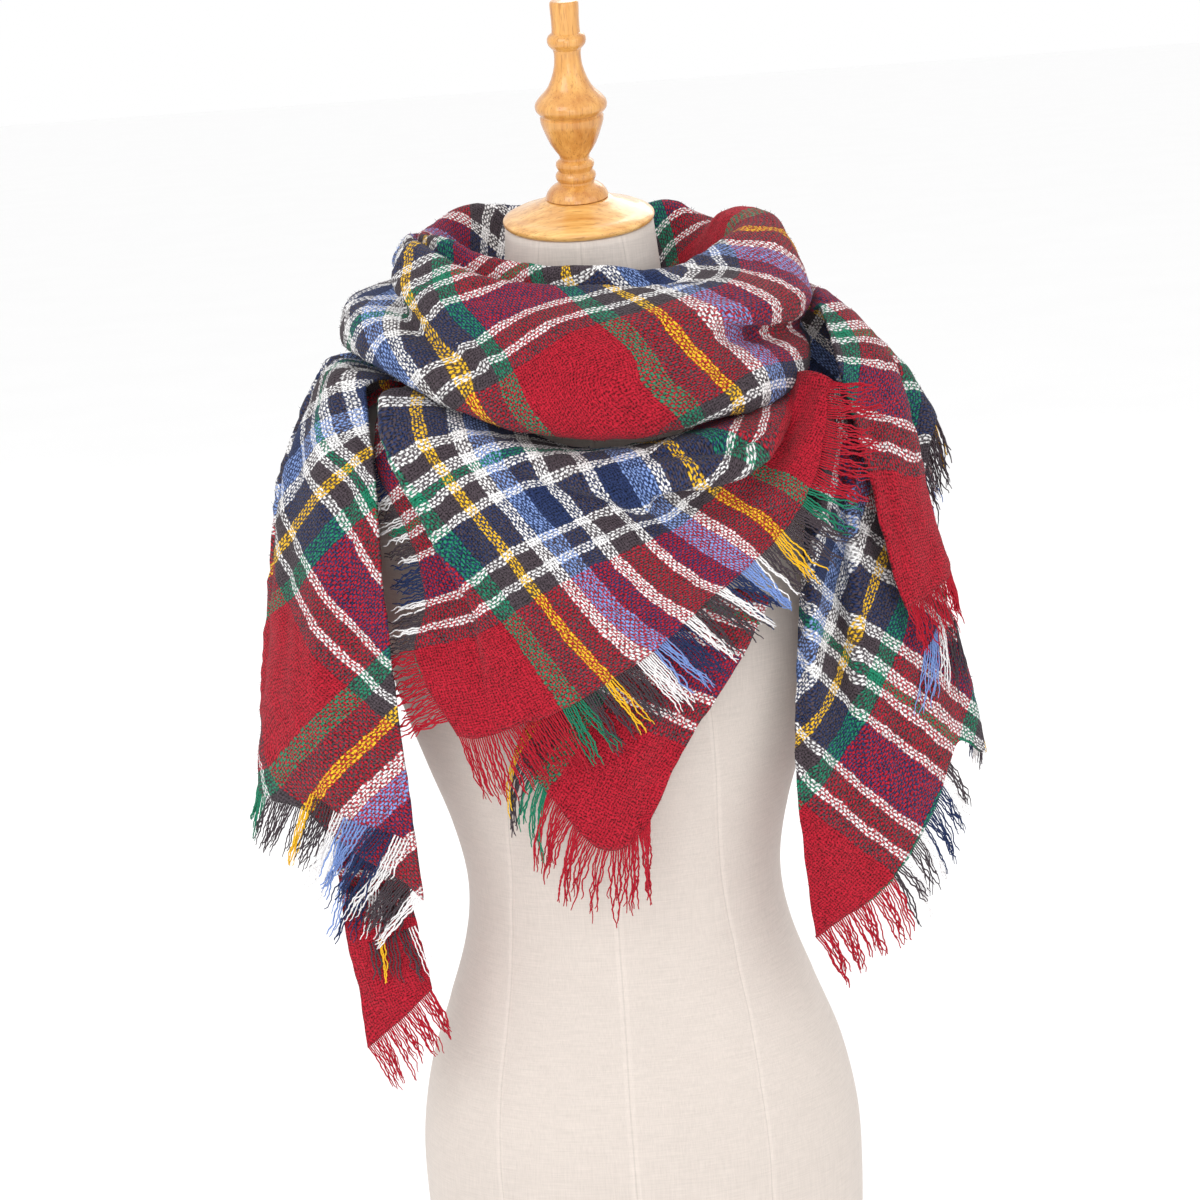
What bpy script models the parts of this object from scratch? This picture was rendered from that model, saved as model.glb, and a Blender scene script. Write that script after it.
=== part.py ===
"""Blanket scarf worn on a limbless dress form.

A square blanket scarf, folded on its diagonal, lies round the neck of a linen dress form with its
point in front.  Its ends cross behind the neck and come forward over both shoulders.  Each stretch
that shows is one cloth wall, and each fringed edge is one strip with its locks of yarn.

Tables are in millimetres: X to the viewer's right, Y to the back, Z up from the form's flat base.
"""
import math
import random
from collections import namedtuple

import bmesh
import bpy
from mathutils import Matrix, Vector

MM = 0.001
OBJECT_NAME = "blanket_scarf_on_form"

# Cloth
CLOTH = 2.4                 # thickness of the brushed blanket cloth
COLUMNS_PER_RIB = 2
ROWS_PER_PLACE = 2
FRONT_RING = (3, 14)        # sections between which the neck ring is one stretch in front
RING_SEAM = 0.02            # space at the ring's two joins, as a part of a section's width

# Fringe
FRINGE_GAP = 0.6            # space between the cloth's edge and the strip
STRIP = 3.0                 # width of the strip that the locks hang from
EDGE_EVENING = 4            # times the directions along an edge are evened out
LOCK_SHARE = 0.62           # part of the spacing that a lock fills at its root
LOCK_TAPER = 0.55           # width of a lock's tip, against its root
LOCK_SWAY = 0.16            # sideways lean of a lock, as a part of its spacing
LOCK_LIFT = 0.4             # how far a lock's tip may stand off the cloth's own face
FRINGE_SEED = 7

# Dress form
FORM_SIDES = 28
FORM_SQUARENESS = 0.92      # under 1 makes the sections a little fuller than an ellipse
NECK_TILT = math.radians(11)        # the neck's top, cap and finial lean to the front
CAP_CENTRE = (0, -10, 900)          # middle of the neck's top
FINIAL_SIDES = 18
CAP_SIDES = 28

# The neck ring of cloth, in sections round the neck.  Each section runs from the inside over the
# lip and the rolled edge, down the outside and under the hem: a radius and a height at each place.
Section = namedtuple("Section", "angle inner lip top valley crest bulge waist strip hem tuck")
NECK_RING = (
    Section(-180, (74, 846), (92, 894), (102, 902), (112, 894), (124, 892), (140, 870), (139, 846),
            (147, 824), (144, 798), (112, 790)),
    Section(-155, (78, 848), (96, 898), (106, 906), (115, 897), (126, 895), (142, 873), (141, 849),
            (153, 826), (150, 799), (122, 792)),
    Section(-130, (86, 850), (106, 902), (117, 910), (124, 899), (131, 898), (143, 880), (142, 857),
            (164, 838), (166, 808), (140, 802)),
    Section(-110, (92, 850), (112, 893), (121, 899), (126, 889), (133, 893), (143, 880), (142, 862),
            (176, 850), (183, 818), (158, 813)),
    Section(-90, (94, 850), (111, 891), (119, 897), (123, 887), (129, 897), (140, 879), (138, 863),
            (175, 853), (184, 820), (160, 816)),
    Section(-70, (91, 848), (103, 890), (111, 897), (117, 884), (127, 891), (143, 875), (143, 860),
            (175, 847), (177, 818), (152, 815)),
    Section(-50, (86, 845), (94, 880), (101, 886), (110, 874), (124, 880), (147, 864), (150, 845),
            (173, 830), (170, 802), (142, 801)),
    Section(-30, (83, 842), (92, 873), (99, 880), (109, 865), (121, 868), (148, 850), (159, 828),
            (174, 803), (165, 780), (136, 781)),
    Section(-10, (82, 842), (91, 870), (98, 876), (107, 860), (119, 864), (150, 845), (167, 819),
            (175, 791), (164, 767), (134, 770)),
    Section(10, (82, 842), (91, 868), (98, 873), (107, 858), (119, 860), (153, 842), (169, 816),
            (176, 788), (165, 762), (133, 768)),
    Section(30, (83, 842), (91, 862), (99, 868), (112, 857), (129, 858), (160, 845), (168, 824),
            (175, 797), (165, 768), (135, 771)),
    Section(50, (86, 842), (92, 862), (101, 869), (119, 862), (143, 857), (166, 842), (158, 821),
            (172, 797), (166, 770), (138, 773)),
    Section(70, (93, 846), (102, 872), (112, 881), (133, 871), (156, 854), (171, 838), (160, 816),
            (169, 797), (166, 780), (142, 782)),
    Section(90, (96, 850), (112, 880), (127, 889), (149, 882), (162, 861), (170, 836), (161, 814),
            (167, 801), (164, 788), (143, 784)),
    Section(108, (94, 850), (108, 886), (120, 896), (146, 894), (160, 876), (165, 850), (156, 828),
            (163, 809), (159, 794), (140, 791)),
    Section(123, (86, 848), (106, 874), (117, 884), (134, 884), (149, 873), (156, 850), (150, 828),
            (157, 810), (154, 794), (134, 790)),
    Section(140, (80, 846), (102, 892), (114, 902), (124, 894), (136, 880), (147, 858), (144, 836),
            (152, 816), (149, 795), (126, 789)),
    Section(160, (76, 846), (94, 889), (104, 897), (114, 892), (128, 886), (142, 864), (140, 841),
            (150, 820), (146, 795), (117, 788)),
)

# Hanging stretches, in ribs that follow the folds from the neck down to the edge of the cloth.
FrontRib = namedtuple("FrontRib", "place tuck crest valley roll under chest middle edge")
FRONT_TOP = (
    FrontRib("selvedge", (-104, -58, 776), (-150, -69, 783), (-160, -84, 762), (-157, -99, 734),
             (-142, -111, 698), (-130, -121, 647), (-141, -129, 602), (-114, -137, 545)),
    FrontRib("pleat inside", (-98, -68, 778), (-140, -87, 783), (-135, -111, 763),
             (-123, -124, 738), (-106, -130, 705), (-93, -136, 661), (-101, -142, 612),
             (-97, -145, 545)),
    FrontRib("pleat edge", (-94, -80, 784), (-144, -96, 795), (-149, -125, 778),
             (-143, -138, 755), (-133, -146, 727), (-111, -152, 679), (-91, -153, 630),
             (-77, -151, 552)),
    FrontRib("green", (-84, -92, 786), (-133, -105, 794), (-131, -137, 773), (-119, -149, 751),
             (-106, -156, 719), (-78, -160, 664), (-59, -160, 615), (-40, -156, 563)),
    FrontRib("yellow", (-70, -104, 776), (-112, -124, 783), (-105, -150, 765), (-91, -162, 742),
             (-73, -167, 705), (-45, -168, 652), (-22, -165, 613), (1, -160, 586)),
    FrontRib("white", (-52, -116, 764), (-84, -144, 770), (-72, -165, 757), (-58, -174, 734),
             (-38, -172, 700), (-10, -170, 658), (13, -167, 626), (33, -163, 606)),
    FrontRib("navy", (-28, -126, 754), (-48, -157, 758), (-36, -173, 748), (-22, -180, 727),
             (-3, -175, 698), (23, -172, 667), (43, -168, 646), (64, -164, 633)),
    FrontRib("centre", (0, -130, 748), (-3, -162, 750), (7, -177, 741), (14, -182, 724),
             (32, -173, 699), (53, -169, 676), (75, -166, 664), (94, -162, 657)),
    FrontRib("white second", (30, -127, 750), (37, -159, 752), (45, -177, 741), (44, -175, 722),
             (64, -164, 702), (85, -164, 687), (104, -160, 679), (120, -156, 676)),
    FrontRib("yellow second", (62, -116, 752), (80, -144, 757), (85, -166, 743), (84, -162, 722),
             (97, -150, 712), (112, -152, 703), (127, -150, 699), (142, -146, 698)),
    FrontRib("green second", (90, -96, 758), (113, -121, 764), (122, -143, 753), (117, -139, 735),
             (126, -133, 730), (138, -137, 727), (149, -136, 730), (161, -132, 734)),
    FrontRib("red", (112, -64, 764), (138, -86, 770), (143, -102, 761), (138, -107, 751),
             (144, -109, 748), (152, -115, 753), (160, -116, 762), (170, -112, 773)),
)

UnderRib = namedtuple("UnderRib", "place top upper lower edge")
FRONT_UNDER = (
    UnderRib("left", (0, -156, 637), (-35, -147, 595), (-60, -144, 558), (-74, -141, 533)),
    UnderRib("green", (29, -162, 643), (-3, -150, 593), (-31, -145, 549), (-59, -142, 508)),
    UnderRib("first red", (58, -164, 645), (26, -150, 591), (-9, -145, 536), (-42, -141, 482)),
    UnderRib("second red", (83, -160, 646), (54, -149, 596), (16, -144, 530), (-21, -140, 455)),
    UnderRib("third red", (101, -154, 644), (75, -147, 594), (33, -142, 528), (0, -139, 450)),
    UnderRib("fold", (119, -146, 635), (95, -143, 590), (50, -139, 525), (22, -137, 469)),
)

DrapeRib = namedtuple("DrapeRib", "place tuck crest shoulder chest side low edge")
LEFT_DRAPE = (
    DrapeRib("inner edge", (-118, -40, 791), (-160, -74, 800), (-163, -98, 774),
             (-160, -114, 738), (-160, -128, 644), (-156, -131, 538), (-151, -124, 416)),
    DrapeRib("inner fold", (-120, -38, 790), (-164, -66, 803), (-173, -92, 774),
             (-174, -110, 734), (-177, -122, 629), (-178, -124, 531), (-174, -119, 437)),
    DrapeRib("middle", (-128, -26, 789), (-174, -50, 806), (-187, -76, 781),
             (-195, -95, 727), (-205, -111, 613), (-207, -113, 529), (-203, -109, 453)),
    DrapeRib("outer front", (-134, -12, 787), (-183, -28, 808), (-204, -46, 784),
             (-222, -66, 715), (-237, -82, 608), (-243, -87, 539), (-238, -89, 480)),
    DrapeRib("side", (-138, 4, 786), (-187, 0, 809), (-213, -9, 783),
             (-244, -25, 706), (-260, -40, 597), (-270, -46, 536), (-276, -50, 490)),
    DrapeRib("back outer", (-136, 24, 786), (-184, 28, 808), (-210, 28, 781),
             (-233, 25, 706), (-246, 14, 630), (-254, 8, 584), (-258, 2, 545)),
    DrapeRib("back middle", (-124, 46, 787), (-170, 60, 803), (-191, 70, 777),
             (-204, 78, 718), (-211, 78, 668), (-217, 75, 634), (-221, 72, 605)),
    DrapeRib("back inner", (-106, 62, 786), (-144, 91, 796), (-152, 108, 771),
             (-154, 120, 732), (-156, 126, 704), (-158, 128, 680), (-160, 129, 660)),
    DrapeRib("back centre", (-80, 72, 784), (-98, 108, 790), (-98, 125, 768),
             (-97, 134, 738), (-96, 139, 718), (-96, 141, 702), (-96, 142, 690)),
    DrapeRib("under the crossing", (-46, 78, 782), (-48, 113, 784), (-44, 132, 770),
             (-40, 141, 752), (-38, 144, 738), (-36, 146, 726), (-35, 147, 716)),
    DrapeRib("covered end", (-8, 82, 780), (0, 114, 782), (6, 134, 772),
             (9, 142, 762), (11, 145, 754), (12, 147, 748), (13, 148, 742)),
)

RIGHT_DRAPE = (
    DrapeRib("front edge", (169, -16, 820), (176, -34, 824), (181, -68, 792),
             (190, -86, 753), (199, -96, 707), (209, -101, 655), (221, -99, 608)),
    DrapeRib("middle", (172, -6, 824), (180, -18, 831), (197, -48, 799),
             (213, -67, 752), (222, -80, 702), (231, -85, 648), (242, -83, 614)),
    DrapeRib("outer edge", (172, 4, 826), (181, -2, 834), (207, -20, 811),
             (229, -34, 774), (242, -46, 720), (250, -54, 668), (260, -58, 626)),
    DrapeRib("turned in", (169, 16, 826), (179, 14, 835), (205, 6, 810),
             (222, -6, 773), (231, -14, 727), (238, -20, 690), (243, -24, 662)),
    DrapeRib("flap", (162, 34, 826), (173, 36, 835), (213, 25, 802),
             (237, 21, 777), (250, 19, 757), (258, 17, 743), (264, 15, 729)),
    DrapeRib("back outer", (149, 60, 826), (160, 64, 835), (206, 59, 800),
             (229, 63, 762), (239, 64, 732), (243, 64, 705), (246, 64, 682)),
    DrapeRib("back middle", (127, 85, 826), (139, 94, 835), (172, 106, 794),
             (187, 116, 750), (193, 119, 715), (197, 121, 685), (199, 121, 655)),
    DrapeRib("back inner", (98, 118, 826), (106, 127, 834), (124, 142, 790),
             (129, 147, 750), (131, 149, 715), (132, 150, 682), (134, 151, 650)),
    DrapeRib("back centre", (54, 143, 824), (58, 152, 832), (60, 158, 790),
             (56, 160, 755), (53, 161, 727), (51, 162, 702), (49, 163, 678)),
    DrapeRib("crossing", (0, 153, 820), (0, 160, 827), (-6, 164, 797),
             (-12, 165, 770), (-17, 166, 748), (-21, 167, 728), (-24, 167, 710)),
    DrapeRib("far side", (-58, 147, 815), (-62, 153, 819), (-70, 155, 801),
             (-77, 154, 785), (-83, 155, 771), (-88, 155, 758), (-92, 155, 746)),
    DrapeRib("end at the ring", (-106, 133, 811), (-110, 137, 812), (-117, 138, 805),
             (-123, 138, 799), (-128, 138, 793), (-132, 137, 787), (-135, 136, 782)),
)

TailRib = namedtuple("TailRib", "place top shoulder chest side waist low edge")
RIGHT_TAIL = (
    TailRib("inner edge", (134, -52, 768), (160, -80, 755), (152, -98, 704), (141, -110, 617),
            (132, -112, 511), (135, -110, 423), (141, -106, 356)),
    TailRib("roll", (144, -52, 769), (168, -88, 750), (162, -110, 706), (150, -120, 619),
            (147, -118, 512), (154, -113, 431), (167, -107, 374)),
    TailRib("trough", (154, -48, 768), (176, -66, 748), (176, -80, 692), (172, -90, 611),
            (172, -103, 513), (180, -106, 442), (191, -102, 387)),
    TailRib("ridge", (166, -42, 766), (184, -64, 742), (190, -86, 685), (190, -103, 613),
            (193, -107, 528), (203, -104, 464), (214, -99, 413)),
    TailRib("outer", (180, -34, 764), (199, -48, 730), (212, -68, 664), (223, -83, 589),
            (229, -88, 528), (235, -88, 480), (238, -86, 447)),
    TailRib("side", (192, -22, 760), (212, -32, 724), (229, -48, 657), (243, -60, 597),
            (251, -65, 558), (256, -66, 519), (259, -67, 491)),
    TailRib("flare", (198, -6, 758), (220, -14, 720), (240, -28, 655), (257, -39, 595),
            (270, -44, 545), (279, -44, 505), (285, -42, 475)),
    TailRib("behind the flare", (198, 12, 758), (219, 9, 722), (238, 3, 665), (252, -2, 615),
            (262, -6, 578), (268, -8, 548), (272, -8, 522)),
    TailRib("back outer", (190, 34, 758), (209, 37, 724), (223, 38, 685), (234, 38, 655),
            (242, 38, 632), (247, 37, 614), (251, 36, 600)),
    TailRib("back", (174, 52, 760), (192, 64, 730), (202, 69, 702), (209, 72, 682), (213, 73, 666),
            (216, 73, 654), (218, 73, 645)),
)

TipRib = namedtuple("TipRib", "place top upper middle lower edge")
LEFT_UNDER = (
    TipRib("outer", (-215, -104, 508), (-217, -93, 443), (-213, -96, 364), (-209, -97, 326),
           (-207, -97, 288)),
    TipRib("middle", (-195, -114, 500), (-193, -104, 438), (-188, -106, 374), (-186, -106, 340),
           (-184, -105, 308)),
    TipRib("inner", (-170, -120, 488), (-164, -113, 432), (-159, -113, 388), (-155, -112, 362),
           (-152, -111, 338)),
)

# Each hanging stretch and its table.
HANGING = {
    "front_point": FRONT_TOP,
    "front_under": FRONT_UNDER,
    "left_tail": LEFT_DRAPE,
    "left_under": LEFT_UNDER,
    "right_shoulder": RIGHT_DRAPE,
    "right_tail": RIGHT_TAIL,
}

# Small moves that seat a stretch against its neighbour, a seam's space away.
SEAT = {
    "front_under": (0, 0.7, 0),
    "left_under": (0, 0.7, 0),
    "right_tail": (1.3, 0, 0),
}

# Dress form: rings from the flat base to the neck's top.
FormRing = namedtuple("FormRing", "height half_width front back shift")
FORM_RINGS = (
    FormRing(0, 172, 106, 116, 0),
    FormRing(50, 176, 110, 121, 0),
    FormRing(110, 179, 113, 128, 0),
    FormRing(170, 178, 113, 130, 0),
    FormRing(230, 167, 108, 120, 0),
    FormRing(290, 146, 99, 102, 0),
    FormRing(340, 130, 92, 88, 0),
    FormRing(385, 125, 90, 83, 0),
    FormRing(435, 133, 96, 83, 0),
    FormRing(490, 150, 110, 88, 0),
    FormRing(545, 166, 121, 94, 0),
    FormRing(590, 174, 120, 99, 0),
    FormRing(640, 180, 106, 103, 0),
    FormRing(690, 186, 90, 104, 0),
    FormRing(730, 188, 78, 100, 0),
    FormRing(752, 184, 71, 94, 0),
    FormRing(766, 174, 67, 87, 0),
    FormRing(777, 156, 63, 80, 0),
    FormRing(787, 132, 59, 73, 0),
    FormRing(798, 106, 56, 66, 1),
    FormRing(810, 84, 55, 60, 2),
    FormRing(824, 69, 56, 57, 1),
    FormRing(842, 61, 57, 56, -2),
    FormRing(870, 58, 56, 55, -6),
)
NECK_TOP_RADIUS = 55.5

# Turned wood: radius and height above the neck's top, from the top of each piece down.
CAP_PROFILE = (
    (0.0, 18.6), (24.0, 18.4), (34.0, 13.8), (44.0, 9.8), (51.0, 7.6), (55.2, 5.6), (56.6, 3.4),
    (55.2, 0.9), (50.0, 0.3), (0.0, 0.3),
)
FINIAL_PROFILE = (
    (0.0, 163.6), (8.8, 163.6), (10.6, 161.6), (10.1, 148.0), (10.4, 141.0), (14.0, 136.8),
    (13.8, 132.4), (10.0, 128.2), (10.0, 120.0), (13.2, 107.0), (18.6, 98.0), (25.4, 91.6),
    (26.4, 86.4), (23.7, 81.4), (21.6, 71.0), (17.2, 60.0), (11.6, 49.6), (14.2, 45.6),
    (14.0, 41.4), (12.4, 39.2), (14.8, 36.2), (13.6, 30.6), (18.8, 27.0), (23.4, 20.6),
    (22.4, 18.9), (0.0, 18.9),
)

# A fringed edge: the strip's name, the stretch and the edge it lies along, where it starts and ends
# on that edge (0 to 1), its locks, their length, how far they droop from the edge's own direction,
# and how uneven they are.
Fringe = namedtuple("Fringe", "node cloth side start end locks length droop uneven")
FRINGES = (
    Fringe("fringe_front", "front_point", "lower", 0.0, 1.0, 30, 46, 0.12, 0.25),
    Fringe("fringe_front_side", "front_point", "first", 0.30, 0.93, 9, 28, 0.2, 0.4),
    Fringe("fringe_front_under", "front_under", "lower", 0.0, 1.0, 15, 44, 0.3, 0.25),
    Fringe("fringe_left", "left_tail", "lower", 0.0, 0.42, 14, 42, 0.1, 0.25),
    Fringe("fringe_left_back", "left_tail", "lower", 0.44, 0.86, 16, 42, 0.25, 0.2),
    Fringe("fringe_left_under", "left_under", "lower", 0.0, 1.0, 7, 38, 0.3, 0.3),
    Fringe("fringe_right_strip", "right_shoulder", "lower", 0.0, 0.079, 5, 38, 0.3, 0.25),
    Fringe("fringe_right_back", "right_shoulder", "lower", 0.29, 0.99, 20, 42, 0.4, 0.25),
    Fringe("fringe_right", "right_tail", "lower", 0.0, 0.39, 14, 44, 0.4, 0.25),
    Fringe("fringe_right_side", "right_tail", "lower", 0.535, 0.99, 11, 42, 0.3, 0.25),
)

MATERIALS = {
    "tartan_cloth": dict(colour=(0.44, 0.02, 0.03), roughness=0.95, metallic=0.0),
    "fringe_yarn": dict(colour=(0.30, 0.05, 0.08), roughness=0.95, metallic=0.0),
    "linen": dict(colour=(0.74, 0.68, 0.60), roughness=0.9, metallic=0.0),
    "varnished_wood": dict(colour=(0.60, 0.27, 0.06), roughness=0.3, metallic=0.0),
}


def clear_scene():
    """Remove whatever the file holds."""
    for item in list(bpy.data.objects):
        bpy.data.objects.remove(item, do_unlink=True)


def material(name):
    """The named Principled material, made once."""
    made = bpy.data.materials.get(name)
    if made:
        return made
    finish = MATERIALS[name]
    made = bpy.data.materials.new(name)
    made.use_nodes = True
    shader = made.node_tree.nodes["Principled BSDF"]
    shader.inputs["Base Color"].default_value = (*finish["colour"], 1.0)
    shader.inputs["Roughness"].default_value = finish["roughness"]
    shader.inputs["Metallic"].default_value = finish["metallic"]
    return made


def add_object(name, mesh, finish, collection):
    """An object of the mesh, with its own copy of the finish."""
    item = bpy.data.objects.new(name, mesh)
    collection.objects.link(item)
    own = material(finish).copy()
    own.name = f"{name}_{finish}"
    mesh.materials.append(own)
    return item


def through(points, place):
    """The point at place (counted in points) on a smooth curve through the points."""
    last = len(points) - 1
    place = min(max(place, 0.0), float(last))
    first = min(int(place), last - 1)
    part = place - first
    b = points[first]
    c = points[first + 1]
    a = points[first - 1] if first > 0 else 2 * b - c
    d = points[first + 2] if first + 2 <= last else 2 * c - b
    square = part * part
    return 0.5 * (2 * b + (c - a) * part + (2 * a - 5 * b + 4 * c - d) * square
                  + (3 * b - a - 3 * c + d) * square * part)


class Net:
    """A smooth surface through ribs; rib counts across it and place counts along it."""

    def __init__(self, ribs, seat=(0, 0, 0)):
        move = Vector(seat)
        self.ribs = [[Vector(point) + move for point in rib] for rib in ribs]
        self.across = len(self.ribs) - 1
        self.along = len(self.ribs[0]) - 1

    def point(self, rib, place):
        """Position in millimetres."""
        return through([through(points, place) for points in self.ribs], rib)


def ring_net(first, last):
    """The neck ring from one section to another, with a section more at each end."""
    ribs = []
    for index in range(first - 1, last + 2):
        turns, place = divmod(index, len(NECK_RING))
        section = NECK_RING[place]
        turn = math.radians(section.angle + 360 * turns)
        ribs.append([Vector((radius * math.sin(turn), -radius * math.cos(turn), height))
                     for radius, height in section[1:]])
    return Net(ribs)


def steps(start, end, count):
    """Evenly spaced values, both ends included."""
    return [start + (end - start) * i / count for i in range(count + 1)]


def cloth_grid(net, first=0.0, last=None):
    """Rows of points from the neck down, one list for each column between two ribs."""
    last = net.across if last is None else last
    columns = steps(first, last, round((last - first) * COLUMNS_PER_RIB))
    rows = steps(0, net.along, net.along * ROWS_PER_PLACE)
    return [[net.point(rib, place) for place in rows] for rib in columns]


def cloth_wall(name, grid, collection):
    """A stretch of cloth through a grid of points, thickened to both sides."""
    height = len(grid[0])
    vertices = [tuple(point * MM) for column in grid for point in column]
    faces = []
    for i in range(len(grid) - 1):
        for j in range(height - 1):
            corner = i * height + j
            faces.append((corner, corner + 1, corner + height + 1, corner + height))
    mesh = bpy.data.meshes.new(name)
    mesh.from_pydata(vertices, [], faces)
    mesh.shade_smooth()
    item = add_object(name, mesh, "tartan_cloth", collection)
    wall = item.modifiers.new("Cloth", "SOLIDIFY")
    wall.thickness = CLOTH * MM
    wall.offset = 0.0
    wall.use_rim = True
    return item


class Edge:
    """An edge of a cloth wall: its points, the way out of the cloth, and the cloth's face there."""

    def __init__(self, line, inner):
        self.line = line
        count = len(line)
        ways = []
        for i, point in enumerate(line):
            along = (line[min(i + 1, count - 1)] - line[max(i - 1, 0)]).normalized()
            way = point - inner[i]
            ways.append((way - along * way.dot(along)).normalized())
        for _ in range(EDGE_EVENING):
            ways = [(ways[max(i - 1, 0)] + 2 * way + ways[min(i + 1, count - 1)]).normalized()
                    for i, way in enumerate(ways)]
        self.ways = ways
        self.spans = [(line[i + 1] - line[i]).length for i in range(count - 1)]

    def corners(self):
        """Shares of the edge's length at which its own points lie."""
        whole = sum(self.spans)
        return [sum(self.spans[:i]) / whole for i in range(1, len(self.spans))]

    def at(self, share):
        """Point, way out, face and direction along the edge, at a share of its length."""
        reach = share * sum(self.spans)
        i = 0
        while i < len(self.spans) - 1 and reach > self.spans[i]:
            reach -= self.spans[i]
            i += 1
        part = min(max(reach / self.spans[i], 0.0), 1.0)
        point = self.line[i].lerp(self.line[i + 1], part)
        along = (self.line[i + 1] - self.line[i]).normalized()
        way = self.ways[i].lerp(self.ways[i + 1], part)
        way = (way - along * way.dot(along)).normalized()
        return point, way, way.cross(along).normalized(), along


def grid_edge(grid, side):
    """The lower edge, which the columns run down to, or the edge along the first column."""
    if side == "lower":
        return Edge([column[-1] for column in grid], [column[-2] for column in grid])
    return Edge(grid[0], grid[1])


def add_fringe(edge, spec, collection):
    """A strip beside an edge, with tapering locks of yarn that stand out of it."""
    draw = random.Random(f"{FRINGE_SEED}-{spec.node}")
    half = CLOTH / 2
    pitch = (spec.end - spec.start) / spec.locks
    roots = []
    cuts = []
    for lock in range(spec.locks):
        middle = spec.start + (lock + 0.5) * pitch
        left = middle - LOCK_SHARE / 2 * pitch
        right = middle + LOCK_SHARE / 2 * pitch
        if lock:
            cuts += [share for share in edge.corners() if cuts[-1] < share < left]
        roots.append(len(cuts))
        cuts += [left, right]
    vertices = []
    faces = []
    for cut in cuts:
        point, way, face, _ = edge.at(cut)
        near = point + way * FRINGE_GAP
        far = near + way * STRIP
        vertices += [near + face * half, near - face * half, far - face * half, far + face * half]
    for i in range(len(cuts) - 1):
        a = 4 * i
        b = a + 4
        faces += [(a, b, b + 1, a + 1), (a + 1, b + 1, b + 2, a + 2), (a + 3, b + 3, b, a)]
        if i not in roots:
            faces.append((a + 2, b + 2, b + 3, a + 3))
    end = 4 * (len(cuts) - 1)
    faces += [(0, 1, 2, 3), (end + 3, end + 2, end + 1, end)]
    down = Vector((0, 0, -1))
    for i in roots:
        a = 4 * i
        ring = [a + 3, a + 2, a + 6, a + 7]
        start = [vertices[k].copy() for k in ring]
        centre = sum(start, Vector()) / 4
        _, way, face, along = edge.at((cuts[i] + cuts[i + 1]) / 2)
        width = (start[2] - start[1]).length / LOCK_SHARE
        length = spec.length * (1 - spec.uneven * draw.random())
        sway = along * (draw.uniform(-LOCK_SWAY, LOCK_SWAY) * width)
        lift = face * draw.uniform(-LOCK_LIFT, LOCK_LIFT)
        for share in (0.5, 1.0):
            heading = way.lerp(down, spec.droop * share).normalized()
            shift = heading * (length * share) + sway * share + lift * share
            narrow = 1 + (LOCK_TAPER - 1) * share
            base = len(vertices)
            vertices += [centre + (corner - centre) * narrow + shift for corner in start]
            for k in range(4):
                n = (k + 1) % 4
                faces.append((ring[k], ring[n], base + n, base + k))
            ring = [base, base + 1, base + 2, base + 3]
        faces.append(tuple(ring))
    mesh = bpy.data.meshes.new(spec.node)
    mesh.from_pydata([tuple(v * MM) for v in vertices], [], faces)
    solid = bmesh.new()
    solid.from_mesh(mesh)
    bmesh.ops.recalc_face_normals(solid, faces=solid.faces)
    solid.to_mesh(mesh)
    solid.free()
    return add_object(spec.node, mesh, "fringe_yarn", collection)


def form_section(ring):
    """One level closed section of the form, with its own depth in front and behind."""
    points = []
    for i in range(FORM_SIDES):
        turn = 2 * math.pi * i / FORM_SIDES
        depth = ring.back if math.sin(turn) > 0 else ring.front
        x = ring.half_width * math.copysign(abs(math.cos(turn)) ** FORM_SQUARENESS, math.cos(turn))
        y = depth * math.copysign(abs(math.sin(turn)) ** FORM_SQUARENESS, math.sin(turn))
        points.append(Vector((x, y + ring.shift, ring.height)))
    return points


def neck_top():
    """The neck's top edge, a circle that leans to the front."""
    lean = Matrix.Rotation(NECK_TILT, 3, "X")
    points = []
    for i in range(FORM_SIDES):
        turn = 2 * math.pi * i / FORM_SIDES
        rim = Vector((NECK_TOP_RADIUS * math.cos(turn), NECK_TOP_RADIUS * math.sin(turn), 0))
        points.append(Vector(CAP_CENTRE) + lean @ rim)
    return points


def build_form(collection):
    """The linen body: a loft from the flat base over hips, waist, bust and shoulders to the neck."""
    sections = [form_section(ring) for ring in FORM_RINGS] + [neck_top()]
    vertices = [tuple(point * MM) for section in sections for point in section]
    faces = [tuple(reversed(range(FORM_SIDES)))]
    for level in range(len(sections) - 1):
        a = level * FORM_SIDES
        for i in range(FORM_SIDES):
            n = (i + 1) % FORM_SIDES
            faces.append((a + i, a + n, a + FORM_SIDES + n, a + FORM_SIDES + i))
    top = (len(sections) - 1) * FORM_SIDES
    faces.append(tuple(range(top, top + FORM_SIDES)))
    mesh = bpy.data.meshes.new("form_body")
    mesh.from_pydata(vertices, [], faces)
    mesh.shade_smooth()
    return add_object("form_body", mesh, "linen", collection)


def turned_piece(name, profile, sides, collection):
    """A turned wooden piece on the neck's top, leaning with the neck."""
    mesh = bpy.data.meshes.new(name)
    line = [(i, i + 1) for i in range(len(profile) - 1)]
    mesh.from_pydata([(radius * MM, 0, height * MM) for radius, height in profile], line, [])
    item = add_object(name, mesh, "varnished_wood", collection)
    turn = item.modifiers.new("Turn", "SCREW")
    turn.steps = sides
    turn.render_steps = sides
    turn.use_merge_vertices = True
    turn.merge_threshold = 0.00001
    turn.use_smooth_shade = True
    item.location = Vector(CAP_CENTRE) * MM
    item.rotation_euler = (NECK_TILT, 0, 0)
    return item


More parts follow.
